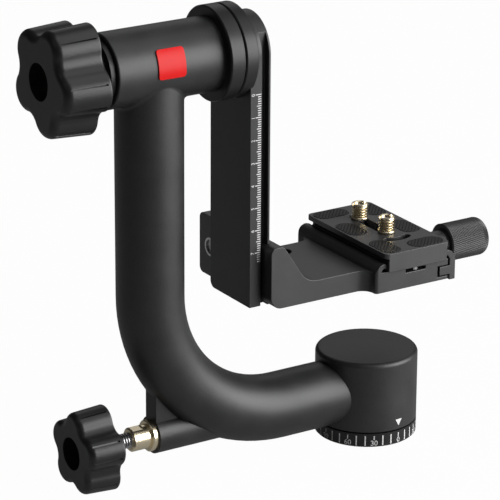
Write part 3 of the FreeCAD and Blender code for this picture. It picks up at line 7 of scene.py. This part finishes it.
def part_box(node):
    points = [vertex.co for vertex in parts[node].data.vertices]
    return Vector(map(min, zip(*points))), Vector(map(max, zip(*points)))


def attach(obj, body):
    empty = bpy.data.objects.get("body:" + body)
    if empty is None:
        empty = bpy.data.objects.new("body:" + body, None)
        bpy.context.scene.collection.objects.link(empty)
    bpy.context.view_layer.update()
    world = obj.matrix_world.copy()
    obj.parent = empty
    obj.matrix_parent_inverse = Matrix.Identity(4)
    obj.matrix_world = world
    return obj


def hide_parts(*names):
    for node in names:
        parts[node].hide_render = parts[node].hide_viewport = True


# Gimbal head for long lenses, dressed from the base upwards in the order it is put together.
# Metres; the origin is the centre of the base's underside and +Z is up.
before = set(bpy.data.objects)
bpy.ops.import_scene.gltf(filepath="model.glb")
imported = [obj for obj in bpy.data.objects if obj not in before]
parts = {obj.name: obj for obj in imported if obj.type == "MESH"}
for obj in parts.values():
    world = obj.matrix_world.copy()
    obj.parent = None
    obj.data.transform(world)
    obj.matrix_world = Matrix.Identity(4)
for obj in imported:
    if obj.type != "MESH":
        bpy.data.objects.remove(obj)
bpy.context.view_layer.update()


# Panning dial: an aluminium ring turned in a lathe, black anodised and screwed to the base.
# Its white degree marks and numbers are printed on the rim. Each 10 degrees has a long mark,
# and the marks that carry a number are short.
def grained(name, colour, metallic, roughness, grain, depth, mottle, stretch=(1, 1, 1), shine=0.5):
    """A surface with a fine grain over broad, faint patches.

    grain is the size of the grain and depth its relief, in metres. mottle is the share by which
    grain and patches shift the colour, and the patches shift the gloss too.
    """
    grain_detail = 3
    grain_share = 0.6
    patches_per_metre = 60
    patch_detail = 4
    darkest, lightest = 0.45, 1.15
    gloss_shift = 0.05
    relief_share = 0.6
    skin = bpy.data.materials.new(name)
    skin.use_nodes = True
    nodes, links = skin.node_tree.nodes, skin.node_tree.links
    shader = nodes["Principled BSDF"]
    shader.inputs["Metallic"].default_value = metallic
    shader.inputs["Specular IOR Level"].default_value = shine
    where = nodes.new("ShaderNodeTexCoord")
    lay = nodes.new("ShaderNodeMapping")
    lay.inputs["Scale"].default_value = stretch
    links.new(where.outputs["Object"], lay.inputs["Vector"])
    fine = nodes.new("ShaderNodeTexNoise")
    fine.inputs["Scale"].default_value = 1 / grain
    fine.inputs["Detail"].default_value = grain_detail
    broad = nodes.new("ShaderNodeTexNoise")
    broad.inputs["Scale"].default_value = patches_per_metre
    broad.inputs["Detail"].default_value = patch_detail
    links.new(lay.outputs["Vector"], fine.inputs["Vector"])
    links.new(where.outputs["Object"], broad.inputs["Vector"])
    tone = nodes.new("ShaderNodeMix")
    tone.data_type = "RGBA"
    tone.inputs["A"].default_value = (*[c * (1 - mottle) for c in colour], 1)
    tone.inputs["B"].default_value = (*[c * (1 + mottle) for c in colour], 1)
    both = nodes.new("ShaderNodeMath")
    both.operation = "MULTIPLY_ADD"
    both.inputs[1].default_value = grain_share
    links.new(fine.outputs["Fac"], both.inputs[0])
    links.new(broad.outputs["Fac"], both.inputs[2])
    level = nodes.new("ShaderNodeMapRange")
    level.inputs["From Min"].default_value = darkest
    level.inputs["From Max"].default_value = lightest
    links.new(both.outputs[0], level.inputs["Value"])
    links.new(level.outputs["Result"], tone.inputs["Factor"])
    links.new(tone.outputs["Result"], shader.inputs["Base Color"])
    sheen = nodes.new("ShaderNodeMapRange")
    sheen.inputs["To Min"].default_value = roughness - gloss_shift
    sheen.inputs["To Max"].default_value = roughness + gloss_shift
    links.new(broad.outputs["Fac"], sheen.inputs["Value"])
    links.new(sheen.outputs["Result"], shader.inputs["Roughness"])
    relief = nodes.new("ShaderNodeBump")
    relief.inputs["Strength"].default_value = relief_share
    relief.inputs["Distance"].default_value = depth
    links.new(fine.outputs["Fac"], relief.inputs["Height"])
    links.new(relief.outputs["Normal"], shader.inputs["Normal"])
    return skin


def dress(skin, *names):
    """Gives a finish to CAD pieces."""
    for name in names:
        for held in parts[name].material_slots:
            held.material = skin


def numeral(text, height):
    """The outline faces of a numeral, lying flat and centred on its own origin."""
    line_per_digit = 1.4
    curve = bpy.data.curves.new("numeral", "FONT")
    curve.body = text
    curve.size = height * line_per_digit
    curve.align_x = "CENTER"
    curve.align_y = "CENTER"
    writing = bpy.data.objects.new("numeral", curve)
    bpy.context.scene.collection.objects.link(writing)
    flat = bpy.data.meshes.new_from_object(writing.evaluated_get(bpy.context.evaluated_depsgraph_get()))
    faces = [[tuple(flat.vertices[i].co[:2]) for i in polygon.vertices] for polygon in flat.polygons]
    bpy.data.objects.remove(writing)
    return faces


def bar(x, y, width, height):
    """A flat oblong face about its centre, cut in short lengths so that it can bend."""
    steps = 4
    edge = [x - width / 2 + width * i / steps for i in range(steps + 1)]
    return [[(a, y - height / 2), (b, y - height / 2), (b, y + height / 2), (a, y + height / 2)]
            for a, b in zip(edge, edge[1:])]


WELD = 1e-7


def print_on(name, faces, lay_on, ink, body, film=0.00003):
    """Printed marks as a thin film of ink; lay_on gives a point of the surface and its way out."""
    mesh = bmesh.new()
    for face in faces:
        mesh.faces.new([mesh.verts.new((x, y, 0)) for x, y in face])
    bmesh.ops.remove_doubles(mesh, verts=mesh.verts, dist=WELD)
    grown = bmesh.ops.extrude_face_region(mesh, geom=list(mesh.faces), use_keep_orig=True)
    upper = {v for v in grown["geom"] if isinstance(v, bmesh.types.BMVert)}
    for vert in mesh.verts:
        point, out = lay_on(vert.co.x, vert.co.y)
        vert.co = point + out * (film if vert in upper else -film)
    bmesh.ops.recalc_face_normals(mesh, faces=mesh.faces)
    data = bpy.data.meshes.new(name)
    mesh.to_mesh(data)
    piece = bpy.data.objects.new(name, data)
    bpy.context.scene.collection.objects.link(piece)
    data.materials.append(ink)
    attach(piece, body)
    return piece


dial_black = grained("dial black", colour=(0.010, 0.010, 0.011), metallic=0.0, roughness=0.42,
                     grain=0.0004, depth=0.00001, mottle=0.25, shine=0.45)
white_ink = grained("white ink", colour=(0.78, 0.78, 0.77), metallic=0.0, roughness=0.5,
                    grain=0.0005, depth=0.000005, mottle=0.06)
dress(dial_black, "dial_ring")
DIAL_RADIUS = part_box("dial_ring")[1].x
DIAL_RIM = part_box("dial_ring")[1].z
DIAL_ZERO = math.radians(6)
DEGREES_PER_MARK = 10
DEGREES_PER_NUMBER = 30
LONG_WIDTH, LONG_HEIGHT, LONG_DROP = 0.0007, 0.0058, 0.0041
SHORT_WIDTH, SHORT_HEIGHT, SHORT_DROP = 0.0006, 0.0024, 0.0024
DIGIT_HEIGHT, DIGIT_DROP = 0.0030, 0.0056


def on_dial(x, y):
    """Round the rim: x is the distance to the right seen from the front, y the height."""
    turn = x / DIAL_RADIUS - math.pi / 2
    out = Vector((math.cos(turn), math.sin(turn), 0))
    return out * DIAL_RADIUS + Vector((0, 0, y)), out


dial_faces = []
for degrees in range(0, 360, DEGREES_PER_MARK):
    arc = (DIAL_ZERO - math.radians(degrees)) * DIAL_RADIUS
    if degrees % DEGREES_PER_NUMBER:
        dial_faces += bar(arc, DIAL_RIM - LONG_DROP, LONG_WIDTH, LONG_HEIGHT)
    else:
        dial_faces += bar(arc, DIAL_RIM - SHORT_DROP, SHORT_WIDTH, SHORT_HEIGHT)
        marked = min(degrees, 360 - degrees)
        dial_faces += [[(x + arc, y + DIAL_RIM - DIGIT_DROP) for x, y in face]
                       for face in numeral(str(marked), DIGIT_HEIGHT)]
print_on("dial_marks", dial_faces, on_dial, white_ink, "base")

# Base plate, spindle and tripod thread: turned steel. The plate is blackened and screwed up into
# the dial ring from below, and a zinc-plated bushing is pressed in for the tripod's stud.
turned_steel = grained("turned steel", colour=(0.50, 0.50, 0.51), metallic=1.0, roughness=0.28,
                       grain=0.0006, depth=0.000004, mottle=0.10, stretch=(1, 1, 14))
black_oxide = grained("black oxide steel", colour=(0.020, 0.020, 0.022), metallic=0.3, roughness=0.42,
                      grain=0.0004, depth=0.000006, mottle=0.2)
zinc = grained("zinc plate", colour=(0.62, 0.62, 0.63), metallic=1.0, roughness=0.25,
               grain=0.0004, depth=0.000004, mottle=0.08)
dress(black_oxide, "base_plate", "base_screws")
dress(turned_steel, "spindle", "brake_drum", "spindle_nut")
dress(zinc, "thread_bushing")

# Pan bearings: two deep-groove ball bearings of ground steel, pressed on the spindle and into
# the housing that turns round it.
ground_steel = grained("ground steel", colour=(0.66, 0.66, 0.67), metallic=1.0, roughness=0.14,
                       grain=0.0008, depth=0.000002, mottle=0.05)
dress(ground_steel, "pan_inner_rings", "pan_outer_rings", "pan_balls")

# Panning housing and bent tube: one aluminium casting in a fine-textured black powder coat.
# A plain aluminium ring under the housing holds the bearings in, and a printed white triangle
# points at the dial.
powder_coat = grained("black powder coat", colour=(0.018, 0.018, 0.019), metallic=0.0, roughness=0.44,
                      grain=0.0005, depth=0.00011, mottle=0.5, shine=0.6)
plain_aluminium = grained("plain aluminium", colour=(0.60, 0.60, 0.61), metallic=1.0, roughness=0.3,
                          grain=0.0006, depth=0.000004, mottle=0.08)
dress(powder_coat, "pan_housing", "swing_frame")
dress(plain_aluminium, "bearing_retainer")
POINTER_HALF = 0.0022
POINTER_MIDDLE = DIAL_ZERO * DIAL_RADIUS
POINTER_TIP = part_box("pan_housing")[0].z + 0.0020
POINTER_TOP = POINTER_TIP + 0.0038
pointer = [[(POINTER_MIDDLE - POINTER_HALF, POINTER_TOP), (POINTER_MIDDLE, POINTER_TIP),
            (POINTER_MIDDLE, POINTER_TOP)],
           [(POINTER_MIDDLE, POINTER_TIP), (POINTER_MIDDLE + POINTER_HALF, POINTER_TOP),
            (POINTER_MIDDLE, POINTER_TOP)]]
print_on("dial_pointer", pointer, on_dial, white_ink, "swing_arm")

# Pan lock: a star knob moulded in black nylon on a steel stud, which screws through a brass
# bushing and pushes a rod and a brass shoe against the brake drum.
nylon = grained("moulded black nylon", colour=(0.010, 0.010, 0.0105), metallic=0.0, roughness=0.38,
                grain=0.0006, depth=0.00002, mottle=0.3, shine=0.55)
turned_brass = grained("pale brass", colour=(0.88, 0.77, 0.56), metallic=1.0, roughness=0.26,
                       grain=0.0005, depth=0.000003, mottle=0.06)
dress(turned_brass, "lock_bushing", "brake_shoe")
dress(turned_steel, "brake_rod", "pan_knob_stud")
dress(nylon, "pan_knob")

# Tilt bearings and axle: a steel axle through the top housing on two ball bearings, with plain
# aluminium spacer sleeves between them.
dress(turned_steel, "tilt_axle")
dress(ground_steel, "tilt_inner_rings", "tilt_outer_rings", "tilt_balls")
dress(plain_aluminium, "axle_sleeves")

# Tilt discs: two turned aluminium discs, black anodised, with a thin nylon washer between them.
# One stands on the housing, and the other is screwed to the camera arm.
disc_black = grained("turned black", colour=(0.012, 0.012, 0.013), metallic=0.0, roughness=0.40,
                     grain=0.0005, depth=0.000006, mottle=0.2, stretch=(12, 1, 1), shine=0.45)
washer_nylon = grained("white nylon", colour=(0.78, 0.77, 0.73), metallic=0.0, roughness=0.4,
                       grain=0.0006, depth=0.000004, mottle=0.04)
dress(disc_black, "front_disc", "back_disc")
dress(washer_nylon, "slip_washer")

# Tilt lock: a larger star knob of the same moulded nylon round a brass insert, drawing a turned
# pressure plate against the end of the housing.
dress(nylon, "tilt_knob")
dress(turned_brass, "tilt_knob_insert")
dress(disc_black, "pressure_plate")

# Badge: a small metal plate, enamelled red and bent to the round of the top housing, where it is
# glued on. It is left bare.
enamel = grained("red enamel", colour=(0.74, 0.008, 0.008), metallic=0.0, roughness=0.35,
                 grain=0.0008, depth=0.000003, mottle=0.06, shine=0.2)
dress(enamel, "badge")

# Camera arm: a flat aluminium bar, blasted and black anodised, with a groove down each edge, and
# screwed to the tilt disc. A height scale is printed on its front edge, with its numbers turned
# on their side.
CAD_WELD = 1e-6
BEVEL_WELD = 2e-6
FLAT_ANGLE = math.radians(0.8)
SHARP_ANGLE = math.radians(35)


def break_edges(node, body, skin, width):
    """A copy of a milled piece with its sharp edges broken by a narrow round, which catches light."""
    mesh = bmesh.new()
    mesh.from_mesh(parts[node].data)
    mesh.transform(parts[node].matrix_world)
    bmesh.ops.remove_doubles(mesh, verts=mesh.verts, dist=CAD_WELD)
    bmesh.ops.dissolve_limit(mesh, angle_limit=FLAT_ANGLE, verts=mesh.verts, edges=mesh.edges)
    sharp = [edge for edge in mesh.edges
             if len(edge.link_faces) == 2 and edge.calc_face_angle() > SHARP_ANGLE]
    bmesh.ops.bevel(mesh, geom=sharp, offset=width, offset_type="OFFSET", segments=2, profile=0.5,
                    affect="EDGES", clamp_overlap=False, miter_outer="SHARP")
    low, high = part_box(node)
    for vert in mesh.verts:
        vert.co = [min(max(place, least), most) for place, least, most in zip(vert.co, low, high)]
    bmesh.ops.remove_doubles(mesh, verts=mesh.verts, dist=BEVEL_WELD)
    bmesh.ops.dissolve_degenerate(mesh, edges=mesh.edges, dist=BEVEL_WELD)
    data = bpy.data.meshes.new(node + "_eased")
    mesh.to_mesh(data)
    data.shade_smooth()
    data.set_sharp_from_angle(angle=SHARP_ANGLE)
    data.materials.clear()
    data.materials.append(skin)
    piece = bpy.data.objects.new(node + "_eased", data)
    bpy.context.scene.collection.objects.link(piece)
    even = piece.modifiers.new("even", "WEIGHTED_NORMAL")
    even.weight = 100
    even.keep_sharp = True
    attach(piece, body)
    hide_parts(node)


arm_black = grained("blasted black", colour=(0.018, 0.018, 0.019), metallic=0.0, roughness=0.44,
                    grain=0.0004, depth=0.000015, mottle=0.25, shine=0.6)
break_edges("camera_arm", "cradle", arm_black, width=0.00025)
dress(zinc, "disc_screws", "axle_screw")
ARM_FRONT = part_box("camera_arm")[0].y
ARM_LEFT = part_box("camera_arm")[0].x
SCALE_RIGHT = ARM_LEFT + 0.0066
SCALE_ZERO = 0.2139
SCALE_STEP = 0.01248
SCALE_TICKS = 75
TICKS_PER_NUMBER = 10
TICK_WIDTH = 0.0005
TICK_LONG, TICK_HALFWAY, TICK_SHORT = 0.0034, 0.0026, 0.0020
NUMBER_MIDDLE = ARM_LEFT + 0.0018
NUMBER_HEIGHT = 0.0020


def on_arm(x, y):
    """On the arm's front edge: x and y are the part's own X and Z."""
    return Vector((x, ARM_FRONT, y)), Vector((0, -1, 0))


scale_faces = []
for tick in range(SCALE_TICKS):
    height = SCALE_ZERO - tick * SCALE_STEP / TICKS_PER_NUMBER
    if tick % TICKS_PER_NUMBER == 0:
        length = TICK_LONG
    elif tick % TICKS_PER_NUMBER == TICKS_PER_NUMBER // 2:
        length = TICK_HALFWAY
    else:
        length = TICK_SHORT
    scale_faces += bar(SCALE_RIGHT - length / 2, height, length, TICK_WIDTH)
    if tick % TICKS_PER_NUMBER == 0:
        scale_faces += [[(NUMBER_MIDDLE - y, height + x) for x, y in face]
                        for face in numeral(str(tick // TICKS_PER_NUMBER), NUMBER_HEIGHT)]
print_on("height_scale", scale_faces, on_arm, white_ink, "cradle")

# Platform bracket: bracket, bar and clamp base milled from one aluminium block, black anodised.
# Steel guide pins and the clamp screw stand in its side; a set screw closes the hole in its floor.
milled_black = grained("milled black", colour=(0.026, 0.026, 0.027), metallic=0.0, roughness=0.43,
                       grain=0.0004, depth=0.000015, mottle=0.25, shine=0.75)
break_edges("platform_bracket", "platform", milled_black, width=0.0004)
dress(black_oxide, "bracket_set_screw")
dress(turned_steel, "guide_pins", "clamp_screw")

# Height lock: a milled aluminium jaw behind the arm with a plain ring in its hole, drawn in by a
# small moulded knob on a steel stud.
break_edges("rear_jaw", "height_jaw", milled_black, width=0.00025)
dress(plain_aluminium, "lock_ring")
dress(nylon, "lock_knob")
dress(turned_steel, "lock_stud")

# Clamp jaw: milled like its base, with a black sleeve and a thin black washer behind it, both
# turned and slipped over the clamp screw.
break_edges("moving_jaw", "clamp_jaw", milled_black, width=0.0003)
dress(milled_black, "clamp_sleeve")
dress(black_oxide, "clamp_washer")

# Clamp handle: an aluminium grip with diamond knurling rolled into it, its free end well rounded,
# black anodised and pressed on a brass insert. The diamonds are longer along the grip than
# round it.
grip_black = grained("knurled black", colour=(0.045, 0.045, 0.045), metallic=0.5, roughness=0.36,
                     grain=0.0004, depth=0.00001, mottle=0.25)
dress(turned_brass, "grip_insert")
CREASE_ANGLE = math.radians(28)


def turned_piece(name, profile, centre, axis, columns, skin, bend, smooth):
    """A closed turned piece, standing on centre: profile points are (along the axis, radius, worked).

    bend moves each point of a ring along the axis and in or out; worked points are the cut ones.
    """
    side = Vector((0, 1, 0)) if axis.x else Vector((1, 0, 0))
    over = Vector((0, 0, 1)) if axis.x else Vector((0, 1, 0))
    mesh = bmesh.new()
    rings = []
    for along, radius, worked in profile:
        if radius == 0:
            rings.append([mesh.verts.new(centre + axis * along)])
            continue
        ring = []
        for column in range(columns):
            turn = 2 * math.pi * column / columns
            height, reach = bend(along, radius, turn, worked)
            out = side * math.cos(turn) + over * math.sin(turn)
            ring.append(mesh.verts.new(centre + axis * height + out * reach))
        rings.append(ring)
    if len(rings[0]) > 1:
        rings.append(rings[0])
    for first, second in zip(rings, rings[1:]):
        for column in range(columns):
            after = (column + 1) % columns
            corners = [first[column % len(first)], first[after % len(first)],
                       second[after % len(second)], second[column % len(second)]]
            mesh.faces.new(list(dict.fromkeys(corners)))
    bmesh.ops.remove_doubles(mesh, verts=mesh.verts, dist=WELD)
    bmesh.ops.dissolve_degenerate(mesh, edges=mesh.edges, dist=WELD)
    bmesh.ops.recalc_face_normals(mesh, faces=mesh.faces)
    data = bpy.data.meshes.new(name)
    mesh.to_mesh(data)
    if smooth:
        data.shade_smooth()
        data.set_sharp_from_angle(angle=CREASE_ANGLE)
    data.materials.append(skin)
    piece = bpy.data.objects.new(name, data)
    bpy.context.scene.collection.objects.link(piece)
    return piece


GRIP_LOW, GRIP_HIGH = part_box("clamp_grip")
GRIP_RADIUS = (GRIP_HIGH.z - GRIP_LOW.z) / 2
GRIP_LENGTH = GRIP_HIGH.x - GRIP_LOW.x
GRIP_FOOT = Vector((GRIP_LOW.x, (GRIP_LOW.y + GRIP_HIGH.y) / 2, (GRIP_LOW.z + GRIP_HIGH.z) / 2))
GRIP_ROUND = 0.0036
GRIP_CHAMFER = 0.0006
GRIP_END = 0.004
INSERT_RADIUS = 0.005
INSERT_LENGTH = 0.014
SCREW_BORE = 0.0031
KNURL_ROUND = 58
KNURL_PITCH = 0.0024
KNURL_DEPTH = 0.00038
KNURL_START = 0.0008
DIAMOND_ROWS = 4
DIAMOND_COLUMNS = 4
ROUND_STEPS = 9


def knurl(along, radius, turn, worked):
    """Two sets of slanting grooves that cross, leaving pointed diamonds."""
    if not worked:
        return along, radius
    rise, lap = along / KNURL_PITCH, turn * KNURL_ROUND / (2 * math.pi)
    grooves = [abs((rise + way * lap) % 1 - 0.5) * 2 for way in (1, -1)]
    return along, radius - KNURL_DEPTH * max(grooves)


grip_profile = [(GRIP_LENGTH - GRIP_END, 0, False), (GRIP_LENGTH - GRIP_END, SCREW_BORE, False),
                (INSERT_LENGTH, SCREW_BORE, False), (INSERT_LENGTH, INSERT_RADIUS, False),
                (0, INSERT_RADIUS, False), (0, GRIP_RADIUS - GRIP_CHAMFER, False),
                (GRIP_CHAMFER, GRIP_RADIUS, False)]
knurled_rows = int((GRIP_LENGTH - GRIP_ROUND - KNURL_START) / KNURL_PITCH * DIAMOND_ROWS)
grip_profile += [(KNURL_START + row * KNURL_PITCH / DIAMOND_ROWS, GRIP_RADIUS, True)
                 for row in range(knurled_rows)]
for step in range(ROUND_STEPS):
    lean = math.pi / 2 * step / ROUND_STEPS
    grip_profile.append((GRIP_LENGTH - GRIP_ROUND + GRIP_ROUND * math.sin(lean),
                         GRIP_RADIUS - GRIP_ROUND + GRIP_ROUND * math.cos(lean), True))
grip_profile += [(GRIP_LENGTH, GRIP_RADIUS - GRIP_ROUND, False), (GRIP_LENGTH, 0, False)]
grip = turned_piece("clamp_grip_knurled", grip_profile, GRIP_FOOT, Vector((1, 0, 0)),
                    KNURL_ROUND * DIAMOND_COLUMNS, grip_black, knurl, smooth=False)
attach(grip, "clamp_handle")
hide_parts("clamp_grip")

# Camera plate: milled aluminium, black anodised, held in the clamp by its dovetail. Ribbed rubber
# pads are let into its top, and a zinc-plated stop screw stands in its end.
plate_black = grained("plate black", colour=(0.032, 0.032, 0.033), metallic=0.0, roughness=0.43,
                      grain=0.0004, depth=0.000015, mottle=0.25, shine=0.8)
rubber = grained("pad rubber", colour=(0.012, 0.012, 0.012), metallic=0.0, roughness=0.55,
                 grain=0.0005, depth=0.00002, mottle=0.3)
break_edges("camera_plate", "plate", plate_black, width=0.00025)
dress(rubber, "plate_pads")
dress(zinc, "stop_screw")

# Camera screws: zinc-plated screws under the plate with spring clips. On each stands a brass
# thread adapter, hollow and slotted on top, with a rounded thread cut round it.
dress(zinc, "front_screw", "back_screw", "front_clip", "back_clip")
adapter_low, adapter_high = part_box("front_adapter")
ADAPTER_RADIUS = (adapter_high.x - adapter_low.x) / 2
ADAPTER_TALL = adapter_high.z - adapter_low.z
ADAPTER_BORE = 0.00318
ADAPTER_CHAMFER = 0.0003
ADAPTER_COLUMNS = 96
FOOT_TALL = 0.0010
THREAD_PITCH = 0.0015875
THREAD_DEPTH = 0.0012
THREAD_ROWS = 44
THREAD_CREST = ADAPTER_RADIUS - 0.00015
THREAD_LOW = 0.0012
THREAD_HIGH = ADAPTER_TALL - 0.0010
THREAD_STOP = ADAPTER_TALL - 0.0011
RUN_IN, RUN_OUT = 0.0008, 0.0006
CREST_POWER = 0.7
SLOT_HALF = 0.00085
SLOT_FLOOR = ADAPTER_TALL - 0.0016
NOSE_FOOT = ADAPTER_TALL - 0.0006
NOSE_MIDDLE = ADAPTER_TALL - 0.0002
NOSE_MIDDLE_RADIUS = ADAPTER_RADIUS - 0.0004
NOSE_RADIUS = ADAPTER_RADIUS - 0.0008


def adapter_shape(along, radius, turn, worked):
    """The thread winds up the barrel, and the driver's slot crosses the top."""
    if worked:
        phase = along / THREAD_PITCH - turn / (2 * math.pi)
        share = max(0, min(1, (along - THREAD_LOW) / RUN_IN, (THREAD_STOP - along) / RUN_OUT))
        radius -= THREAD_DEPTH * share * (0.5 - 0.5 * math.cos(2 * math.pi * phase)) ** CREST_POWER
    if abs(radius * math.sin(turn)) < SLOT_HALF:
        along = min(along, SLOT_FLOOR)
    return along, radius


adapter_profile = [(0, ADAPTER_BORE, False), (0, ADAPTER_RADIUS - ADAPTER_CHAMFER, False),
                   (ADAPTER_CHAMFER, ADAPTER_RADIUS, False), (FOOT_TALL, ADAPTER_RADIUS, False)]
adapter_profile += [(THREAD_LOW + (THREAD_HIGH - THREAD_LOW) * row / THREAD_ROWS, THREAD_CREST, True)
                    for row in range(THREAD_ROWS + 1)]
adapter_profile += [(NOSE_FOOT, THREAD_CREST, False),
                    (NOSE_MIDDLE, NOSE_MIDDLE_RADIUS, False),
                    (ADAPTER_TALL, NOSE_RADIUS, False),
                    (ADAPTER_TALL, ADAPTER_BORE + ADAPTER_CHAMFER, False),
                    (ADAPTER_TALL - ADAPTER_CHAMFER, ADAPTER_BORE, False)]
for end in ("front", "back"):
    low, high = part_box(end + "_adapter")
    foot = Vector(((low.x + high.x) / 2, (low.y + high.y) / 2, low.z))
    adapter = turned_piece(end + "_adapter_threaded", adapter_profile, foot, Vector((0, 0, 1)),
                           ADAPTER_COLUMNS, turned_brass, adapter_shape, smooth=True)
    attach(adapter, end + "_fixing")
    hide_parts(end + "_adapter")

# Studio: a sheet of pale paper under the head, one large soft window in front to the right, three
# weak ones, and the camera where the photographer stood.
FLOOR_HALF = 8
FLOOR_LEVEL = -0.0002
PAPER_TONE = 0.3
PAPER_ROUGHNESS = 0.9
SEEN_GLOW = 0.98
MIRRORED_GLOW = 0.12
SKY_LEVEL = 0.045
floor_mesh = bpy.data.meshes.new("floor")
paper = bmesh.new()
bmesh.ops.create_grid(paper, x_segments=2, y_segments=2, size=FLOOR_HALF)
paper.to_mesh(floor_mesh)
floor = bpy.data.objects.new("floor", floor_mesh)
floor.location.z = FLOOR_LEVEL
bpy.context.scene.collection.objects.link(floor)
pale = bpy.data.materials.new("pale paper")
pale.use_nodes = True
nodes, links = pale.node_tree.nodes, pale.node_tree.links
shader = nodes["Principled BSDF"]
shader.inputs["Base Color"].default_value = (PAPER_TONE, PAPER_TONE, PAPER_TONE, 1)
shader.inputs["Roughness"].default_value = PAPER_ROUGHNESS
glow = nodes.new("ShaderNodeEmission")
seen = nodes.new("ShaderNodeLightPath")
mirrored = nodes.new("ShaderNodeMath")
mirrored.operation = "MAXIMUM"
links.new(seen.outputs["Is Glossy Ray"], mirrored.inputs[0])
links.new(seen.outputs["Is Transmission Ray"], mirrored.inputs[1])
direct = nodes.new("ShaderNodeMath")
direct.operation = "MULTIPLY"
direct.inputs[1].default_value = SEEN_GLOW
links.new(seen.outputs["Is Camera Ray"], direct.inputs[0])
share = nodes.new("ShaderNodeMath")
share.operation = "MULTIPLY_ADD"
share.inputs[1].default_value = MIRRORED_GLOW
links.new(mirrored.outputs[0], share.inputs[0])
links.new(direct.outputs[0], share.inputs[2])
blend = nodes.new("ShaderNodeMixShader")
links.new(share.outputs[0], blend.inputs["Fac"])
links.new(shader.outputs["BSDF"], blend.inputs[1])
links.new(glow.outputs["Emission"], blend.inputs[2])
links.new(blend.outputs["Shader"], nodes["Material Output"].inputs["Surface"])
floor_mesh.materials.append(pale)

world = bpy.data.worlds.new("studio")
bpy.context.scene.world = world
world.use_nodes = True
sky = world.node_tree.nodes["Background"]
sky.inputs["Color"].default_value = (1, 1, 1, 1)
sky.inputs["Strength"].default_value = SKY_LEVEL


def lamp(name, place, aim, wide, tall, power):
    """A soft box of the given size, turned to face a point."""
    light = bpy.data.lights.new(name, "AREA")
    light.shape = "RECTANGLE"
    light.size = wide
    light.size_y = tall
    light.energy = power
    box = bpy.data.objects.new(name, light)
    box.location = place
    box.rotation_euler = (Vector(aim) - Vector(place)).to_track_quat("-Z", "Y").to_euler()
    bpy.context.scene.collection.objects.link(box)


MIDDLE = (-0.04, 0.0, 0.13)
lamp("front window", (0.76, -0.84, 0.50), MIDDLE, wide=1.3, tall=1.0, power=26)
lamp("back window", (0.70, 1.1, 0.9), MIDDLE, wide=1.0, tall=0.8, power=1.4)
lamp("left window", (-1.2, -0.1, 1.1), MIDDLE, wide=0.6, tall=0.6, power=0.35)
lamp("overhead", (0.1, -0.25, 1.3), MIDDLE, wide=0.9, tall=0.9, power=3)

CAMERA_TURN = math.radians(-32.35)
CAMERA_RISE = math.radians(19.97)
CAMERA_ROLL = math.radians(0.335)
SENSOR_WIDTH = 36
PHOTO_PIXELS = 500
FOCAL_PIXELS = 3071.0
BASE_PIXEL = (364.85, 427.18)
BASE_DISTANCE = 1.7246
METRES_PER_PIXEL = BASE_DISTANCE / FOCAL_PIXELS
VIEW_REACH = 60
level_right = Vector((math.cos(CAMERA_TURN), math.sin(CAMERA_TURN), 0))
away = Vector((math.sin(CAMERA_TURN), -math.cos(CAMERA_TURN), 0))
back = away * math.cos(CAMERA_RISE) + Vector((0, 0, math.sin(CAMERA_RISE)))
level_up = Vector((0, 0, math.cos(CAMERA_RISE))) - away * math.sin(CAMERA_RISE)
right = level_right * math.cos(CAMERA_ROLL) + level_up * math.sin(CAMERA_ROLL)
up = level_up * math.cos(CAMERA_ROLL) - level_right * math.sin(CAMERA_ROLL)
stand = back * BASE_DISTANCE
stand -= right * ((BASE_PIXEL[0] - PHOTO_PIXELS / 2) * METRES_PER_PIXEL)
stand += up * ((BASE_PIXEL[1] - PHOTO_PIXELS / 2) * METRES_PER_PIXEL)
view = bpy.data.cameras.new("photo")
view.sensor_width = SENSOR_WIDTH
view.lens = FOCAL_PIXELS / PHOTO_PIXELS * SENSOR_WIDTH
view.clip_end = VIEW_REACH
eye = bpy.data.objects.new("photo", view)
eye.matrix_world = Matrix.Translation(stand) @ Matrix((right, up, back)).transposed().to_4x4()
bpy.context.scene.collection.objects.link(eye)
bpy.context.scene.camera = eye
bpy.context.scene.view_settings.view_transform = "Standard"
